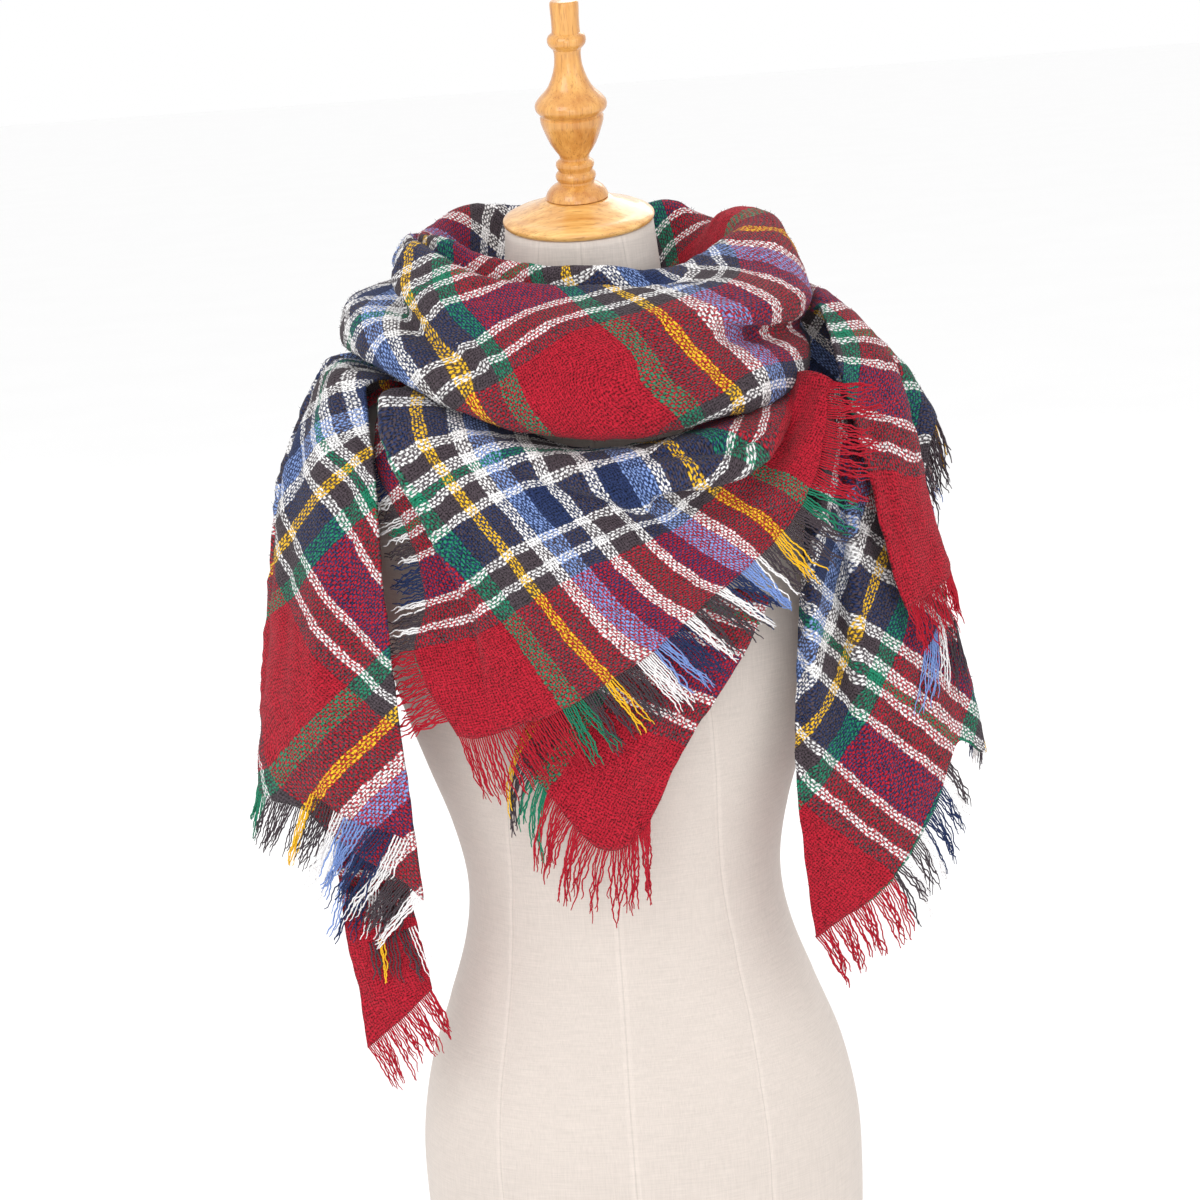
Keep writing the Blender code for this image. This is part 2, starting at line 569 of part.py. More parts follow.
def build():
    """Make the form, the stretches of cloth and their fringes."""
    clear_scene()
    parts = bpy.data.collections.new(OBJECT_NAME)
    bpy.context.scene.collection.children.link(parts)

    build_form(parts)
    turned_piece("form_cap", CAP_PROFILE, CAP_SIDES, parts)
    turned_piece("form_finial", FINIAL_PROFILE, FINIAL_SIDES, parts)

    front_ring = ring_net(FRONT_RING[0], FRONT_RING[1])
    nape_ring = ring_net(FRONT_RING[1], FRONT_RING[0] + len(NECK_RING))
    for name, net in (("cowl_front", front_ring), ("cowl_nape", nape_ring)):
        grid = cloth_grid(net, 1 + RING_SEAM, net.across - 1 - RING_SEAM)
        cloth_wall(name, grid, parts)

    grids = {}
    for name, table in HANGING.items():
        net = Net([rib[1:] for rib in table], SEAT.get(name, (0, 0, 0)))
        grids[name] = cloth_grid(net)
        cloth_wall(name, grids[name], parts)
    for spec in FRINGES:
        add_fringe(grid_edge(grids[spec.cloth], spec.side), spec, parts)


build()
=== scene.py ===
"""Blanket scarf on a limbless dress form.

A square tartan blanket scarf, folded on its diagonal, is wound round the neck of a linen dress
form with a turned wooden cap.  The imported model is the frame: each piece lies where its solid lies.

Tables are in millimetres: X to the viewer's right, Y to the back, Z up from the form's flat base.
"""
import math
import random
from collections import namedtuple
from functools import partial

import bpy
import numpy as np
from mathutils import Matrix, Vector, noise


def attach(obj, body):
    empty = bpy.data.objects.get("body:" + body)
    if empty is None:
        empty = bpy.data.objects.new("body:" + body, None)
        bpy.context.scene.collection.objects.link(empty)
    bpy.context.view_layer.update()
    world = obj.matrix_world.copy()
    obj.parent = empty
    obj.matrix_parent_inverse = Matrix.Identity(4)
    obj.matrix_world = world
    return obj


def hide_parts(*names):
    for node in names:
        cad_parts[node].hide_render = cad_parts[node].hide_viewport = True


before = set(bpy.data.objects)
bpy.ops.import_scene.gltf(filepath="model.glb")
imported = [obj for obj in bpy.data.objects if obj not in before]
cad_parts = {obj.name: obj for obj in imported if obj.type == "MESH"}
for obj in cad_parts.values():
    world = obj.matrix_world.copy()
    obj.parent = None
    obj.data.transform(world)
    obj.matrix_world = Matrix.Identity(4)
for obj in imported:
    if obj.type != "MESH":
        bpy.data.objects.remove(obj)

bl_info = {
    "name": "Blanket scarf on a dress form",
    "version": (1, 0, 0),
    "blender": (4, 5, 0),
    "location": "3D View > Sidebar > Scarf",
    "description": "Makes a fringed tartan blanket scarf worn on a linen dress form",
    "category": "Add Mesh",
}

MM = 0.001
TINY = 1e-9                 # keeps a division from failing


def linear(code):
    """Linear red, green and blue of an sRGB hex colour."""
    values = [int(code[i:i + 2], 16) / 255 for i in (1, 3, 5)]
    return [v / 12.92 if v <= 0.04045 else ((v + 0.055) / 1.055) ** 2.4 for v in values]


def named(columns, rows):
    """A table's rows, or each part's rows, with their columns named."""
    row = namedtuple("Row", columns)
    if isinstance(rows, dict):
        return {part: [row(*values) for values in rows[part]] for part in rows}
    return [row(*values) for values in rows]


# ---------------------------------------------------------------- the cloth's shape

# The neck ring of cloth, in sections round the neck.  Each section runs from the inside over the
# lip and the rolled edge, down the outside and under the hem: a radius and a height at each place.
NECK_RING = named("angle inner lip top valley crest bulge waist strip hem tuck", (
    (-180, (74, 846), (92, 894), (102, 902), (112, 894), (124, 892), (140, 870), (139, 846),
     (147, 824), (144, 798), (112, 790)),
    (-155, (78, 848), (96, 898), (106, 906), (115, 897), (126, 895), (142, 873), (141, 849),
     (153, 826), (150, 799), (122, 792)),
    (-130, (86, 850), (106, 902), (117, 910), (124, 899), (131, 898), (143, 880), (142, 857),
     (164, 838), (166, 808), (140, 802)),
    (-110, (92, 850), (112, 893), (121, 899), (126, 889), (133, 893), (143, 880), (142, 862),
     (176, 850), (183, 818), (158, 813)),
    (-90, (94, 850), (111, 891), (119, 897), (123, 887), (129, 897), (140, 879), (138, 863),
     (175, 853), (184, 820), (160, 816)),
    (-70, (91, 848), (103, 890), (111, 897), (117, 884), (127, 891), (143, 875), (143, 860),
     (175, 847), (177, 818), (152, 815)),
    (-50, (86, 845), (94, 880), (101, 886), (110, 874), (124, 880), (147, 864), (150, 845),
     (173, 830), (170, 802), (142, 801)),
    (-30, (83, 842), (92, 873), (99, 880), (109, 865), (121, 868), (148, 850), (159, 828),
     (174, 803), (165, 780), (136, 781)),
    (-10, (82, 842), (91, 870), (98, 876), (107, 860), (119, 864), (150, 845), (167, 819),
     (175, 791), (164, 767), (134, 770)),
    (10, (82, 842), (91, 868), (98, 873), (107, 858), (119, 860), (153, 842), (169, 816),
     (176, 788), (165, 762), (133, 768)),
    (30, (83, 842), (91, 862), (99, 868), (112, 857), (129, 858), (160, 845), (168, 824),
     (175, 797), (165, 768), (135, 771)),
    (50, (86, 842), (92, 862), (101, 869), (119, 862), (143, 857), (166, 842), (158, 821),
     (172, 797), (166, 770), (138, 773)),
    (70, (93, 846), (102, 872), (112, 881), (133, 871), (156, 854), (171, 838), (160, 816),
     (169, 797), (166, 780), (142, 782)),
    (90, (96, 850), (112, 880), (127, 889), (149, 882), (162, 861), (170, 836), (161, 814),
     (167, 801), (164, 788), (143, 784)),
    (108, (94, 850), (108, 886), (120, 896), (146, 894), (160, 876), (165, 850), (156, 828),
     (163, 809), (159, 794), (140, 791)),
    (123, (86, 848), (106, 874), (117, 884), (134, 884), (149, 873), (156, 850), (150, 828),
     (157, 810), (154, 794), (134, 790)),
    (140, (80, 846), (102, 892), (114, 902), (124, 894), (136, 880), (147, 858), (144, 836),
     (152, 816), (149, 795), (126, 789)),
    (160, (76, 846), (94, 889), (104, 897), (114, 892), (128, 886), (142, 864), (140, 841),
     (150, 820), (146, 795), (117, 788)),
))

# Hanging stretches, in ribs that follow the folds from the neck down to the edge of the cloth.
DRAPE = "rib tuck crest shoulder chest side low edge"
HANGING = {
    "front_point": named("rib tuck crest valley roll under chest middle edge", (
        ("selvedge", (-104, -58, 776), (-150, -69, 783), (-160, -84, 762), (-157, -99, 734),
         (-142, -111, 698), (-130, -121, 647), (-141, -129, 602), (-114, -137, 545)),
        ("pleat inside", (-98, -68, 778), (-140, -87, 783), (-135, -111, 763), (-123, -124, 738),
         (-106, -130, 705), (-93, -136, 661), (-101, -142, 612), (-97, -145, 545)),
        ("pleat edge", (-94, -80, 784), (-144, -96, 795), (-149, -125, 778), (-143, -138, 755),
         (-133, -146, 727), (-111, -152, 679), (-91, -153, 630), (-77, -151, 552)),
        ("green", (-84, -92, 786), (-133, -105, 794), (-131, -137, 773), (-119, -149, 751),
         (-106, -156, 719), (-78, -160, 664), (-59, -160, 615), (-40, -156, 563)),
        ("yellow", (-70, -104, 776), (-112, -124, 783), (-105, -150, 765), (-91, -162, 742),
         (-73, -167, 705), (-45, -168, 652), (-22, -165, 613), (1, -160, 586)),
        ("white", (-52, -116, 764), (-84, -144, 770), (-72, -165, 757), (-58, -174, 734),
         (-38, -172, 700), (-10, -170, 658), (13, -167, 626), (33, -163, 606)),
        ("navy", (-28, -126, 754), (-48, -157, 758), (-36, -173, 748), (-22, -180, 727),
         (-3, -175, 698), (23, -172, 667), (43, -168, 646), (64, -164, 633)),
        ("centre", (0, -130, 748), (-3, -162, 750), (7, -177, 741), (14, -182, 724),
         (32, -173, 699), (53, -169, 676), (75, -166, 664), (94, -162, 657)),
        ("white second", (30, -127, 750), (37, -159, 752), (45, -177, 741), (44, -175, 722),
         (64, -164, 702), (85, -164, 687), (104, -160, 679), (120, -156, 676)),
        ("yellow second", (62, -116, 752), (80, -144, 757), (85, -166, 743), (84, -162, 722),
         (97, -150, 712), (112, -152, 703), (127, -150, 699), (142, -146, 698)),
        ("green second", (90, -96, 758), (113, -121, 764), (122, -143, 753), (117, -139, 735),
         (126, -133, 730), (138, -137, 727), (149, -136, 730), (161, -132, 734)),
        ("red", (112, -64, 764), (138, -86, 770), (143, -102, 761), (138, -107, 751),
         (144, -109, 748), (152, -115, 753), (160, -116, 762), (170, -112, 773)),
        ("under the hem", (118, -50, 772), (146, -70, 784), (154, -84, 787), (158, -90, 788),
         (161, -95, 788), (165, -99, 787), (169, -102, 785), (174, -104, 782)),
    )),
    "front_under": named("rib top upper lower edge", (
        ("left", (0, -156, 637), (-35, -147, 595), (-60, -144, 558), (-74, -141, 533)),
        ("green", (29, -162, 643), (-3, -150, 593), (-31, -145, 549), (-59, -142, 508)),
        ("first red", (58, -164, 645), (26, -150, 591), (-9, -145, 536), (-42, -141, 482)),
        ("second red", (83, -160, 646), (54, -149, 596), (16, -144, 530), (-21, -140, 455)),
        ("third red", (101, -154, 644), (75, -147, 594), (33, -142, 528), (0, -139, 450)),
        ("fold", (119, -146, 635), (95, -143, 590), (50, -139, 525), (22, -137, 469)),
    )),
    "left_tail": named(DRAPE, (
        ("inner edge", (-118, -40, 791), (-160, -74, 800), (-163, -98, 774), (-160, -114, 738),
         (-160, -128, 644), (-156, -131, 538), (-151, -124, 416)),
        ("inner fold", (-120, -38, 790), (-164, -66, 803), (-173, -92, 774), (-174, -110, 734),
         (-177, -122, 629), (-178, -124, 531), (-174, -119, 437)),
        ("middle", (-128, -26, 789), (-174, -50, 806), (-187, -76, 781), (-195, -95, 727),
         (-205, -111, 613), (-207, -113, 529), (-203, -109, 453)),
        ("outer front", (-134, -12, 787), (-183, -28, 808), (-204, -46, 784), (-222, -66, 715),
         (-237, -82, 608), (-243, -87, 539), (-238, -89, 480)),
        ("side", (-138, 4, 786), (-187, 0, 809), (-213, -9, 783), (-244, -25, 706),
         (-260, -40, 597), (-270, -46, 536), (-276, -50, 490)),
        ("back outer", (-136, 24, 786), (-184, 28, 808), (-210, 28, 781), (-233, 25, 706),
         (-246, 14, 630), (-254, 8, 584), (-258, 2, 545)),
        ("back middle", (-124, 46, 787), (-170, 60, 803), (-191, 70, 777), (-204, 78, 718),
         (-211, 78, 668), (-217, 75, 634), (-221, 72, 605)),
        ("back inner", (-106, 62, 786), (-144, 91, 796), (-152, 108, 771), (-154, 120, 732),
         (-156, 126, 704), (-158, 128, 680), (-160, 129, 660)),
        ("back centre", (-80, 72, 784), (-98, 108, 790), (-98, 125, 768), (-97, 134, 738),
         (-96, 139, 718), (-96, 141, 702), (-96, 142, 690)),
        ("under the crossing", (-46, 78, 782), (-48, 113, 784), (-44, 132, 770), (-40, 141, 752),
         (-38, 144, 738), (-36, 146, 726), (-35, 147, 716)),
        ("covered end", (-8, 82, 780), (0, 114, 782), (6, 134, 772), (9, 142, 762), (11, 145, 754),
         (12, 147, 748), (13, 148, 742)),
    )),
    "left_under": named("rib top upper middle lower edge", (
        ("outer", (-215, -104, 508), (-217, -93, 443), (-213, -96, 364), (-209, -97, 326),
         (-207, -97, 288)),
        ("middle", (-195, -114, 500), (-193, -104, 438), (-188, -106, 374), (-186, -106, 340),
         (-184, -105, 308)),
        ("inner", (-170, -120, 488), (-164, -113, 432), (-159, -113, 388), (-155, -112, 362),
         (-152, -111, 338)),
    )),
    "right_shoulder": named(DRAPE, (
        ("front edge", (169, -16, 820), (176, -34, 824), (181, -68, 792), (190, -86, 753),
         (199, -96, 707), (209, -101, 655), (221, -99, 608)),
        ("middle", (172, -6, 824), (180, -18, 831), (197, -48, 799), (213, -67, 752),
         (222, -80, 702), (231, -85, 648), (242, -83, 614)),
        ("outer edge", (172, 4, 826), (181, -2, 834), (207, -20, 811), (229, -34, 774),
         (242, -46, 720), (250, -54, 668), (260, -58, 626)),
        ("turned in", (169, 16, 826), (179, 14, 835), (205, 6, 810), (222, -6, 773),
         (231, -14, 727), (238, -20, 690), (243, -24, 662)),
        ("flap", (162, 34, 826), (173, 36, 835), (213, 25, 802), (237, 21, 777), (250, 19, 757),
         (258, 17, 743), (264, 15, 729)),
        ("back outer", (149, 60, 826), (160, 64, 835), (206, 59, 800), (229, 63, 762),
         (239, 64, 732), (243, 64, 705), (246, 64, 682)),
        ("back middle", (127, 85, 826), (139, 94, 835), (172, 106, 794), (187, 116, 750),
         (193, 119, 715), (197, 121, 685), (199, 121, 655)),
        ("back inner", (98, 118, 826), (106, 127, 834), (124, 142, 790), (129, 147, 750),
         (131, 149, 715), (132, 150, 682), (134, 151, 650)),
        ("back centre", (54, 143, 824), (58, 152, 832), (60, 158, 790), (56, 160, 755),
         (53, 161, 727), (51, 162, 702), (49, 163, 678)),
        ("crossing", (0, 153, 820), (0, 160, 827), (-6, 164, 797), (-12, 165, 770), (-17, 166, 748),
         (-21, 167, 728), (-24, 167, 710)),
        ("far side", (-58, 147, 815), (-62, 153, 819), (-70, 155, 801), (-77, 154, 785),
         (-83, 155, 771), (-88, 155, 758), (-92, 155, 746)),
        ("end at the ring", (-106, 133, 811), (-110, 137, 812), (-117, 138, 805), (-123, 138, 799),
         (-128, 138, 793), (-132, 137, 787), (-135, 136, 782)),
    )),
    "right_tail": named("rib top shoulder chest side waist low edge", (
        ("inner edge", (134, -52, 768), (160, -80, 755), (152, -98, 704), (141, -110, 617),
         (132, -112, 511), (135, -110, 423), (141, -106, 356)),
        ("roll", (144, -52, 769), (168, -88, 750), (162, -110, 706), (150, -120, 619),
         (147, -118, 512), (154, -113, 431), (167, -107, 374)),
        ("trough", (154, -48, 768), (176, -66, 748), (176, -80, 692), (172, -90, 611),
         (172, -103, 513), (180, -106, 442), (191, -102, 387)),
        ("ridge", (166, -42, 766), (184, -64, 742), (190, -86, 685), (190, -103, 613),
         (193, -107, 528), (203, -104, 464), (214, -99, 413)),
        ("outer", (180, -34, 764), (199, -48, 730), (212, -68, 664), (223, -83, 589),
         (229, -88, 528), (235, -88, 480), (238, -86, 447)),
        ("side", (192, -22, 760), (212, -32, 724), (229, -48, 657), (243, -60, 597),
         (251, -65, 558), (256, -66, 519), (259, -67, 491)),
        ("flare", (198, -6, 758), (220, -14, 720), (240, -28, 655), (257, -39, 595),
         (270, -44, 545), (279, -44, 505), (285, -42, 475)),
        ("behind the flare", (198, 12, 758), (219, 9, 722), (238, 3, 665), (252, -2, 615),
         (262, -6, 578), (268, -8, 548), (272, -8, 522)),
        ("back outer", (190, 34, 758), (209, 37, 724), (223, 38, 685), (234, 38, 655),
         (242, 38, 632), (247, 37, 614), (251, 36, 600)),
        ("back", (174, 52, 760), (192, 64, 730), (202, 69, 702), (209, 72, 682), (213, 73, 666),
         (216, 73, 654), (218, 73, 645)),
    )),
}

# Small moves that seat a stretch against its neighbour, a seam's space away.
SEAT = {"front_under": (0, 0.7, 0), "left_under": (0, 0.7, 0), "right_tail": (1.3, 0, 0)}

# Each stretch of the scarf: how finely its grid is cut for each rib and place, the CAD nodes that
# it stands for, how it is held and on what, its flat size in mm and the share of that it fills.
STRETCHES = named("name across along nodes held rests width length share", (
    ("cowl", 12, 7, ("cowl_front", "cowl_nape"), "gathered", ("form_body",), 920, 230, 0.88),
    ("front_point", 12, 10, ("front_point",), "draped", ("form_body",), 330, 300, 0.80),
    ("front_under", 14, 18, ("front_under",), "draped", ("form_body",), 150, 200, 0.73),
    ("left_tail", 12, 14, ("left_tail",), "draped", ("form_body",), 330, 400, 0.90),
    ("left_under", 16, 14, ("left_under",), "hung", ("left_tail",), 60, 195, 0.95),
    ("right_shoulder", 10, 10, ("right_shoulder",), "draped", ("form_body",), 480, 230, 0.87),
    ("right_tail", 12, 14, ("right_tail",), "draped", ("form_body",), 270, 340, 0.85),
))

# ---------------------------------------------------------------- the cloth's own coordinates

# Where a point of a stretch lies on the flat cloth: warp and weft in mm from the middle of a red
# block.  A few marks a stretch are enough, and the rest follows from lengths along the cloth.
MARKS = named("rib place warp weft", {
    "cowl": (
        (7.42, 6.08, -51, 61), (8.45, 4.82, 51, 61), (7.18, 5.68, -51, 81), (8.10, 4.38, 25, 81),
        (6.43, 4.75, -51, 123), (10.47, 7.57, 83, -61), (10.78, 7.20, 108, -61),
        (9.67, 7.52, 51, -51), (6.95, 6.22, -83, 81), (7.05, 6.48, -83, 61),
        (5.72, 5.65, -83, 143), (5.38, 4.88, -83, 175), (9.37, 4.32, 83, 58), (9.52, 5.42, 83, 30),
        (9.67, 6.17, 83, 0), (9.93, 5.18, 108, 25), (10.55, 6.83, 108, -45), (9.98, 4.40, 108, 50),
        (11.32, 5.72, 157, -10), (11.05, 4.42, 157, 30), (12.15, 5.82, 191, 0),
        (7.78, 2.52, 83, 130), (8.48, 2.32, 108, 130), (10.28, 2.78, 157, 100),
        (11.10, 2.95, 191, 81), (8.68, 6.23, 0, 0), (8.95, 5.38, 51, 30), (8.65, 6.65, 51, -20),
        (7.57, 6.38, -51, 45), (7.98, 7.73, -51, 0), (7.30, 7.95, -83, 20),
    ),
    "front_point": (
        (0, 7, -34, -35), (3.1, 7, 43, -35), (3.95, 7, 83, -36), (4.95, 7, 108, -35),
        (5.9, 7, 157, -35), (6.8, 7, 191, -35), (8.03, 7, 265, -35), (9.38, 7, 300, -35),
        (4.08, 4.87, 83, 45), (4.10, 4.30, 83, 81), (3.83, 3.65, 83, 123), (3.57, 2.88, 83, 159),
        (3.32, 1.13, 83, 221), (4.62, 4.50, 108, 61), (4.48, 3.28, 108, 123),
        (4.25, 2.00, 108, 179), (6.17, 3.93, 157, 61), (5.80, 2.67, 157, 123),
        (6.40, 2.25, 191, 123), (7.77, 3.47, 239, 81), (7.80, 1.47, 239, 123),
        (8.43, 2.72, 265, 95), (9.03, 1.98, 297, 100), (0.2, 5.83, -34, 45),
    ),
    "front_under": (
        (0, 4, 84, -24), (2, 4, 27, -24), (4, 4, -22, -24), (5, 4, -42, -20), (3.28, 1.53, 5, 64),
        (3.80, 1.40, -15, 81),
    ),
    "left_tail": (
        (3.55, 3.40, -83, 61), (3.32, 3.27, -83, 81), (2.05, 3.00, -83, 123),
        (1.52, 2.83, -83, 143), (0.92, 2.68, -83, 159), (2.87, 3.58, -51, 61),
        (2.48, 3.48, -51, 81), (1.35, 3.23, -51, 123), (3.22, 3.78, -43, 45), (1.40, 4.35, 43, 45),
        (0.23, 4.78, 83, 45), (2.58, 5.67, 83, -33), (3.50, 5.65, 51, -35), (2.25, 5.83, 108, -35),
        (1.15, 5.97, 157, -35), (0.12, 5.08, 108, 20), (1.57, 2.45, -108, 170),
        (2.87, 2.73, -108, 123), (0.47, 1.65, -140, 179), (2.45, 1.42, -174, 179),
        (3.82, 4.15, 20, -20),
    ),
    "left_under": (
        (0, 4, -40, -35), (2, 4, 30, -35), (1, 0, -5, 157),
    ),
    "right_shoulder": (
        (0.95, 2.20, 43, 123), (1.22, 2.08, 43, 143), (1.00, 1.73, 51, 159), (1.00, 3.53, 0, 61),
        (1.17, 3.28, 0, 81), (1.38, 5.92, 0, -35), (0.28, 3.75, 20, 45), (1.45, 4.03, -20, 61),
    ),
    "right_tail": (
        (1.77, 3.57, 83, 123), (2.10, 3.47, 83, 143), (0.57, 4.33, 51, 61), (1.35, 4.15, 51, 81),
        (2.57, 3.90, 51, 123), (3.00, 3.67, 51, 143), (3.22, 5.67, -33, 81),
        (4.15, 5.33, -33, 123), (4.67, 5.65, -33, 143), (1.87, 4.95, 0, 61), (2.28, 5.78, -33, 45),
        (0.07, 5.95, -34, -30), (2.58, 3.22, 83, 179), (3.45, 2.50, 83, 221),
        (1.13, 2.78, 140, 179), (2.75, 2.47, 108, 225),
    ),
})
MARK_PULL = 4.0             # how firmly a mark holds, against the cloth's own lengths
RING_TURN = 696 - 604j      # how far the cloth runs in one turn round the neck: two repeats a way
RING_PULL = 60.0            # how firmly the ring's two ends keep that turn
FLAT_ROUNDS = 40            # rounds in which the cloth's lengths settle
STIFFNESS = (0.08, 4.0)     # least and most stiffness of an edge between two points


def weights(places, count):
    """For each place, how much each of count points weighs on a smooth curve through them."""
    rows = np.zeros((len(places), count))
    for row, place in zip(rows, places):
        place = min(max(place, 0.0), count - 1.0)
        first = min(int(place), count - 2)
        t = place - first
        shares = ((-t + 2 * t**2 - t**3) / 2, (2 - 5 * t**2 + 3 * t**3) / 2,
                  (t + 4 * t**2 - 3 * t**3) / 2, (t**3 - t**2) / 2)
        for k, share in zip(range(first - 1, first + 3), shares):
            if k < 0:
                row[0] += 2 * share
                row[1] -= share
            elif k >= count:
                row[-1] += 2 * share
                row[-2] -= share
            else:
                row[k] += share
    return rows


def straight_weights(place, count):
    """How much each of count points weighs on straight lines between them."""
    place = min(max(place, 0.0), count - 1.0)
    first = min(int(place), count - 2)
    row = np.zeros(count)
    row[first] = 1 - (place - first)
    row[first + 1] = place - first
    return row


def smooth_grid(table, ribs, places):
    """Values of a table of ribs at each rib and place, on a smooth surface through it."""
    table = np.asarray(table, dtype=float)
    return np.einsum("ur,rpk,vp->uvk", weights(ribs, table.shape[0]), table,
                     weights(places, table.shape[1]))


def unit(vectors):
    """The same directions with a length of 1."""
    return vectors / np.maximum(np.linalg.norm(vectors, axis=-1, keepdims=True), TINY)


def slopes(grid):
    """How a grid runs on at each point: across its ribs, and down them."""
    return np.gradient(grid, axis=0), np.gradient(grid, axis=1)


def evened(values, rounds):
    """Values with all but the ends evened out between their neighbours."""
    for _ in range(rounds):
        values[1:-1] = (values[:-2] + 2 * values[1:-1] + values[2:]) / 4
    return values


def stretch_table(name):
    """A stretch's points in mm.  The neck ring goes from the back round and two sections over."""
    if name in HANGING:
        points = np.array([rib[1:] for rib in HANGING[name]], dtype=float)
        return points + np.array(SEAT.get(name, (0, 0, 0)))
    ribs = []
    for index in range(-1, len(NECK_RING) + 2):
        turns, place = divmod(index, len(NECK_RING))
        section = NECK_RING[place]
        turn = math.radians(section.angle + 360 * turns)
        ribs.append([(radius * math.sin(turn), -radius * math.cos(turn), height)
                     for radius, height in section[1:]])
    return np.array(ribs)


def lay_flat(points, marks, turn):
    """The grid of points laid flat: warp + 1j * weft in mm, with lengths kept and marks met.

    Each triangle turns freely and is then fitted to its neighbours, in rounds.  marks are
    (column, row, place on the cloth) on the grid.  turn is the shift from the first column to the
    last where the grid is a ring, or None.
    """
    wide, high = points.shape[:2]
    count = wide * high
    flat = points.reshape(-1, 3)
    corner = np.arange(count).reshape(wide, high)
    a, b = corner[:-1, :-1].ravel(), corner[1:, :-1].ravel()
    c, d = corner[1:, 1:].ravel(), corner[:-1, 1:].ravel()
    tri = np.vstack([np.stack([a, b, c], 1), np.stack([a, c, d], 1)])
    one, two = flat[tri[:, 1]] - flat[tri[:, 0]], flat[tri[:, 2]] - flat[tri[:, 0]]
    length = np.maximum(np.linalg.norm(one, axis=1), TINY)
    along = (one * two).sum(1) / length
    away = np.linalg.norm(np.cross(one, two), axis=1) / length
    shape = np.stack([np.zeros(len(tri)), length, along + 1j * away], 1)

    holds = [(MARK_PULL,
              np.outer(straight_weights(column, wide), straight_weights(row, high)).ravel(), target)
             for column, row, target in marks]
    if turn:
        for row in range(high):
            spread = np.zeros(count)
            spread[corner[-1, row]] = 1
            spread[corner[0, row]] = -1
            holds.append((RING_PULL, spread, turn))

    x, y = (np.concatenate([[0], np.cumsum(np.linalg.norm(np.diff(points, axis=k), axis=2)
                                           .mean(1 - k))]) for k in (0, 1))
    first_guess = (x[:, None] + 1j * y[None, :]).ravel()
    best = None
    for z, rough in ((shape, first_guess), (shape.conj(), first_guess.conj())):
        sides = []
        stiff = np.zeros((count, count))
        for k in range(3):
            i, j, other = k, (k + 1) % 3, (k + 2) % 3
            across = (z[:, i] - z[:, other]) * (z[:, j] - z[:, other]).conj()
            cot = np.clip(across.real / np.maximum(np.abs(across.imag), TINY), *STIFFNESS)
            sides.append((tri[:, i], tri[:, j], z[:, i] - z[:, j], cot))
            for p, q, sign in ((i, i, 1), (j, j, 1), (i, j, -1), (j, i, -1)):
                np.add.at(stiff, (tri[:, p], tri[:, q]), sign * cot)
        pull = np.zeros(count, dtype=complex)
        for force, spread, target in holds:
            stiff += force * np.outer(spread, spread)
            pull += force * spread * target
        solve = np.linalg.inv(stiff)
        fit = np.linalg.lstsq(np.array([(spread @ rough, spread.sum()) for _, spread, _ in holds]),
                              np.array([target for _, _, target in holds]), rcond=None)[0]
        laid = fit[0] * rough + fit[1]
        for _ in range(FLAT_ROUNDS):
            turned = sum(w * (laid[i] - laid[j]) * e.conj() for i, j, e, w in sides)
            turned /= np.maximum(np.abs(turned), TINY)
            load = pull.copy()
            for i, j, e, w in sides:
                np.add.at(load, i, w * turned * e)
                np.add.at(load, j, -w * turned * e)
            laid = solve @ load
        strain = sum((w * np.abs(laid[i] - laid[j] - turned * e)**2).sum() for i, j, e, w in sides)
        strain += sum(force * abs(spread @ laid - target)**2 for force, spread, target in holds)
        if best is None or strain < best[0]:
            best = (strain, laid)
    return best[1].reshape(wide, high)


# ---------------------------------------------------------------- folds pressed into the cloth

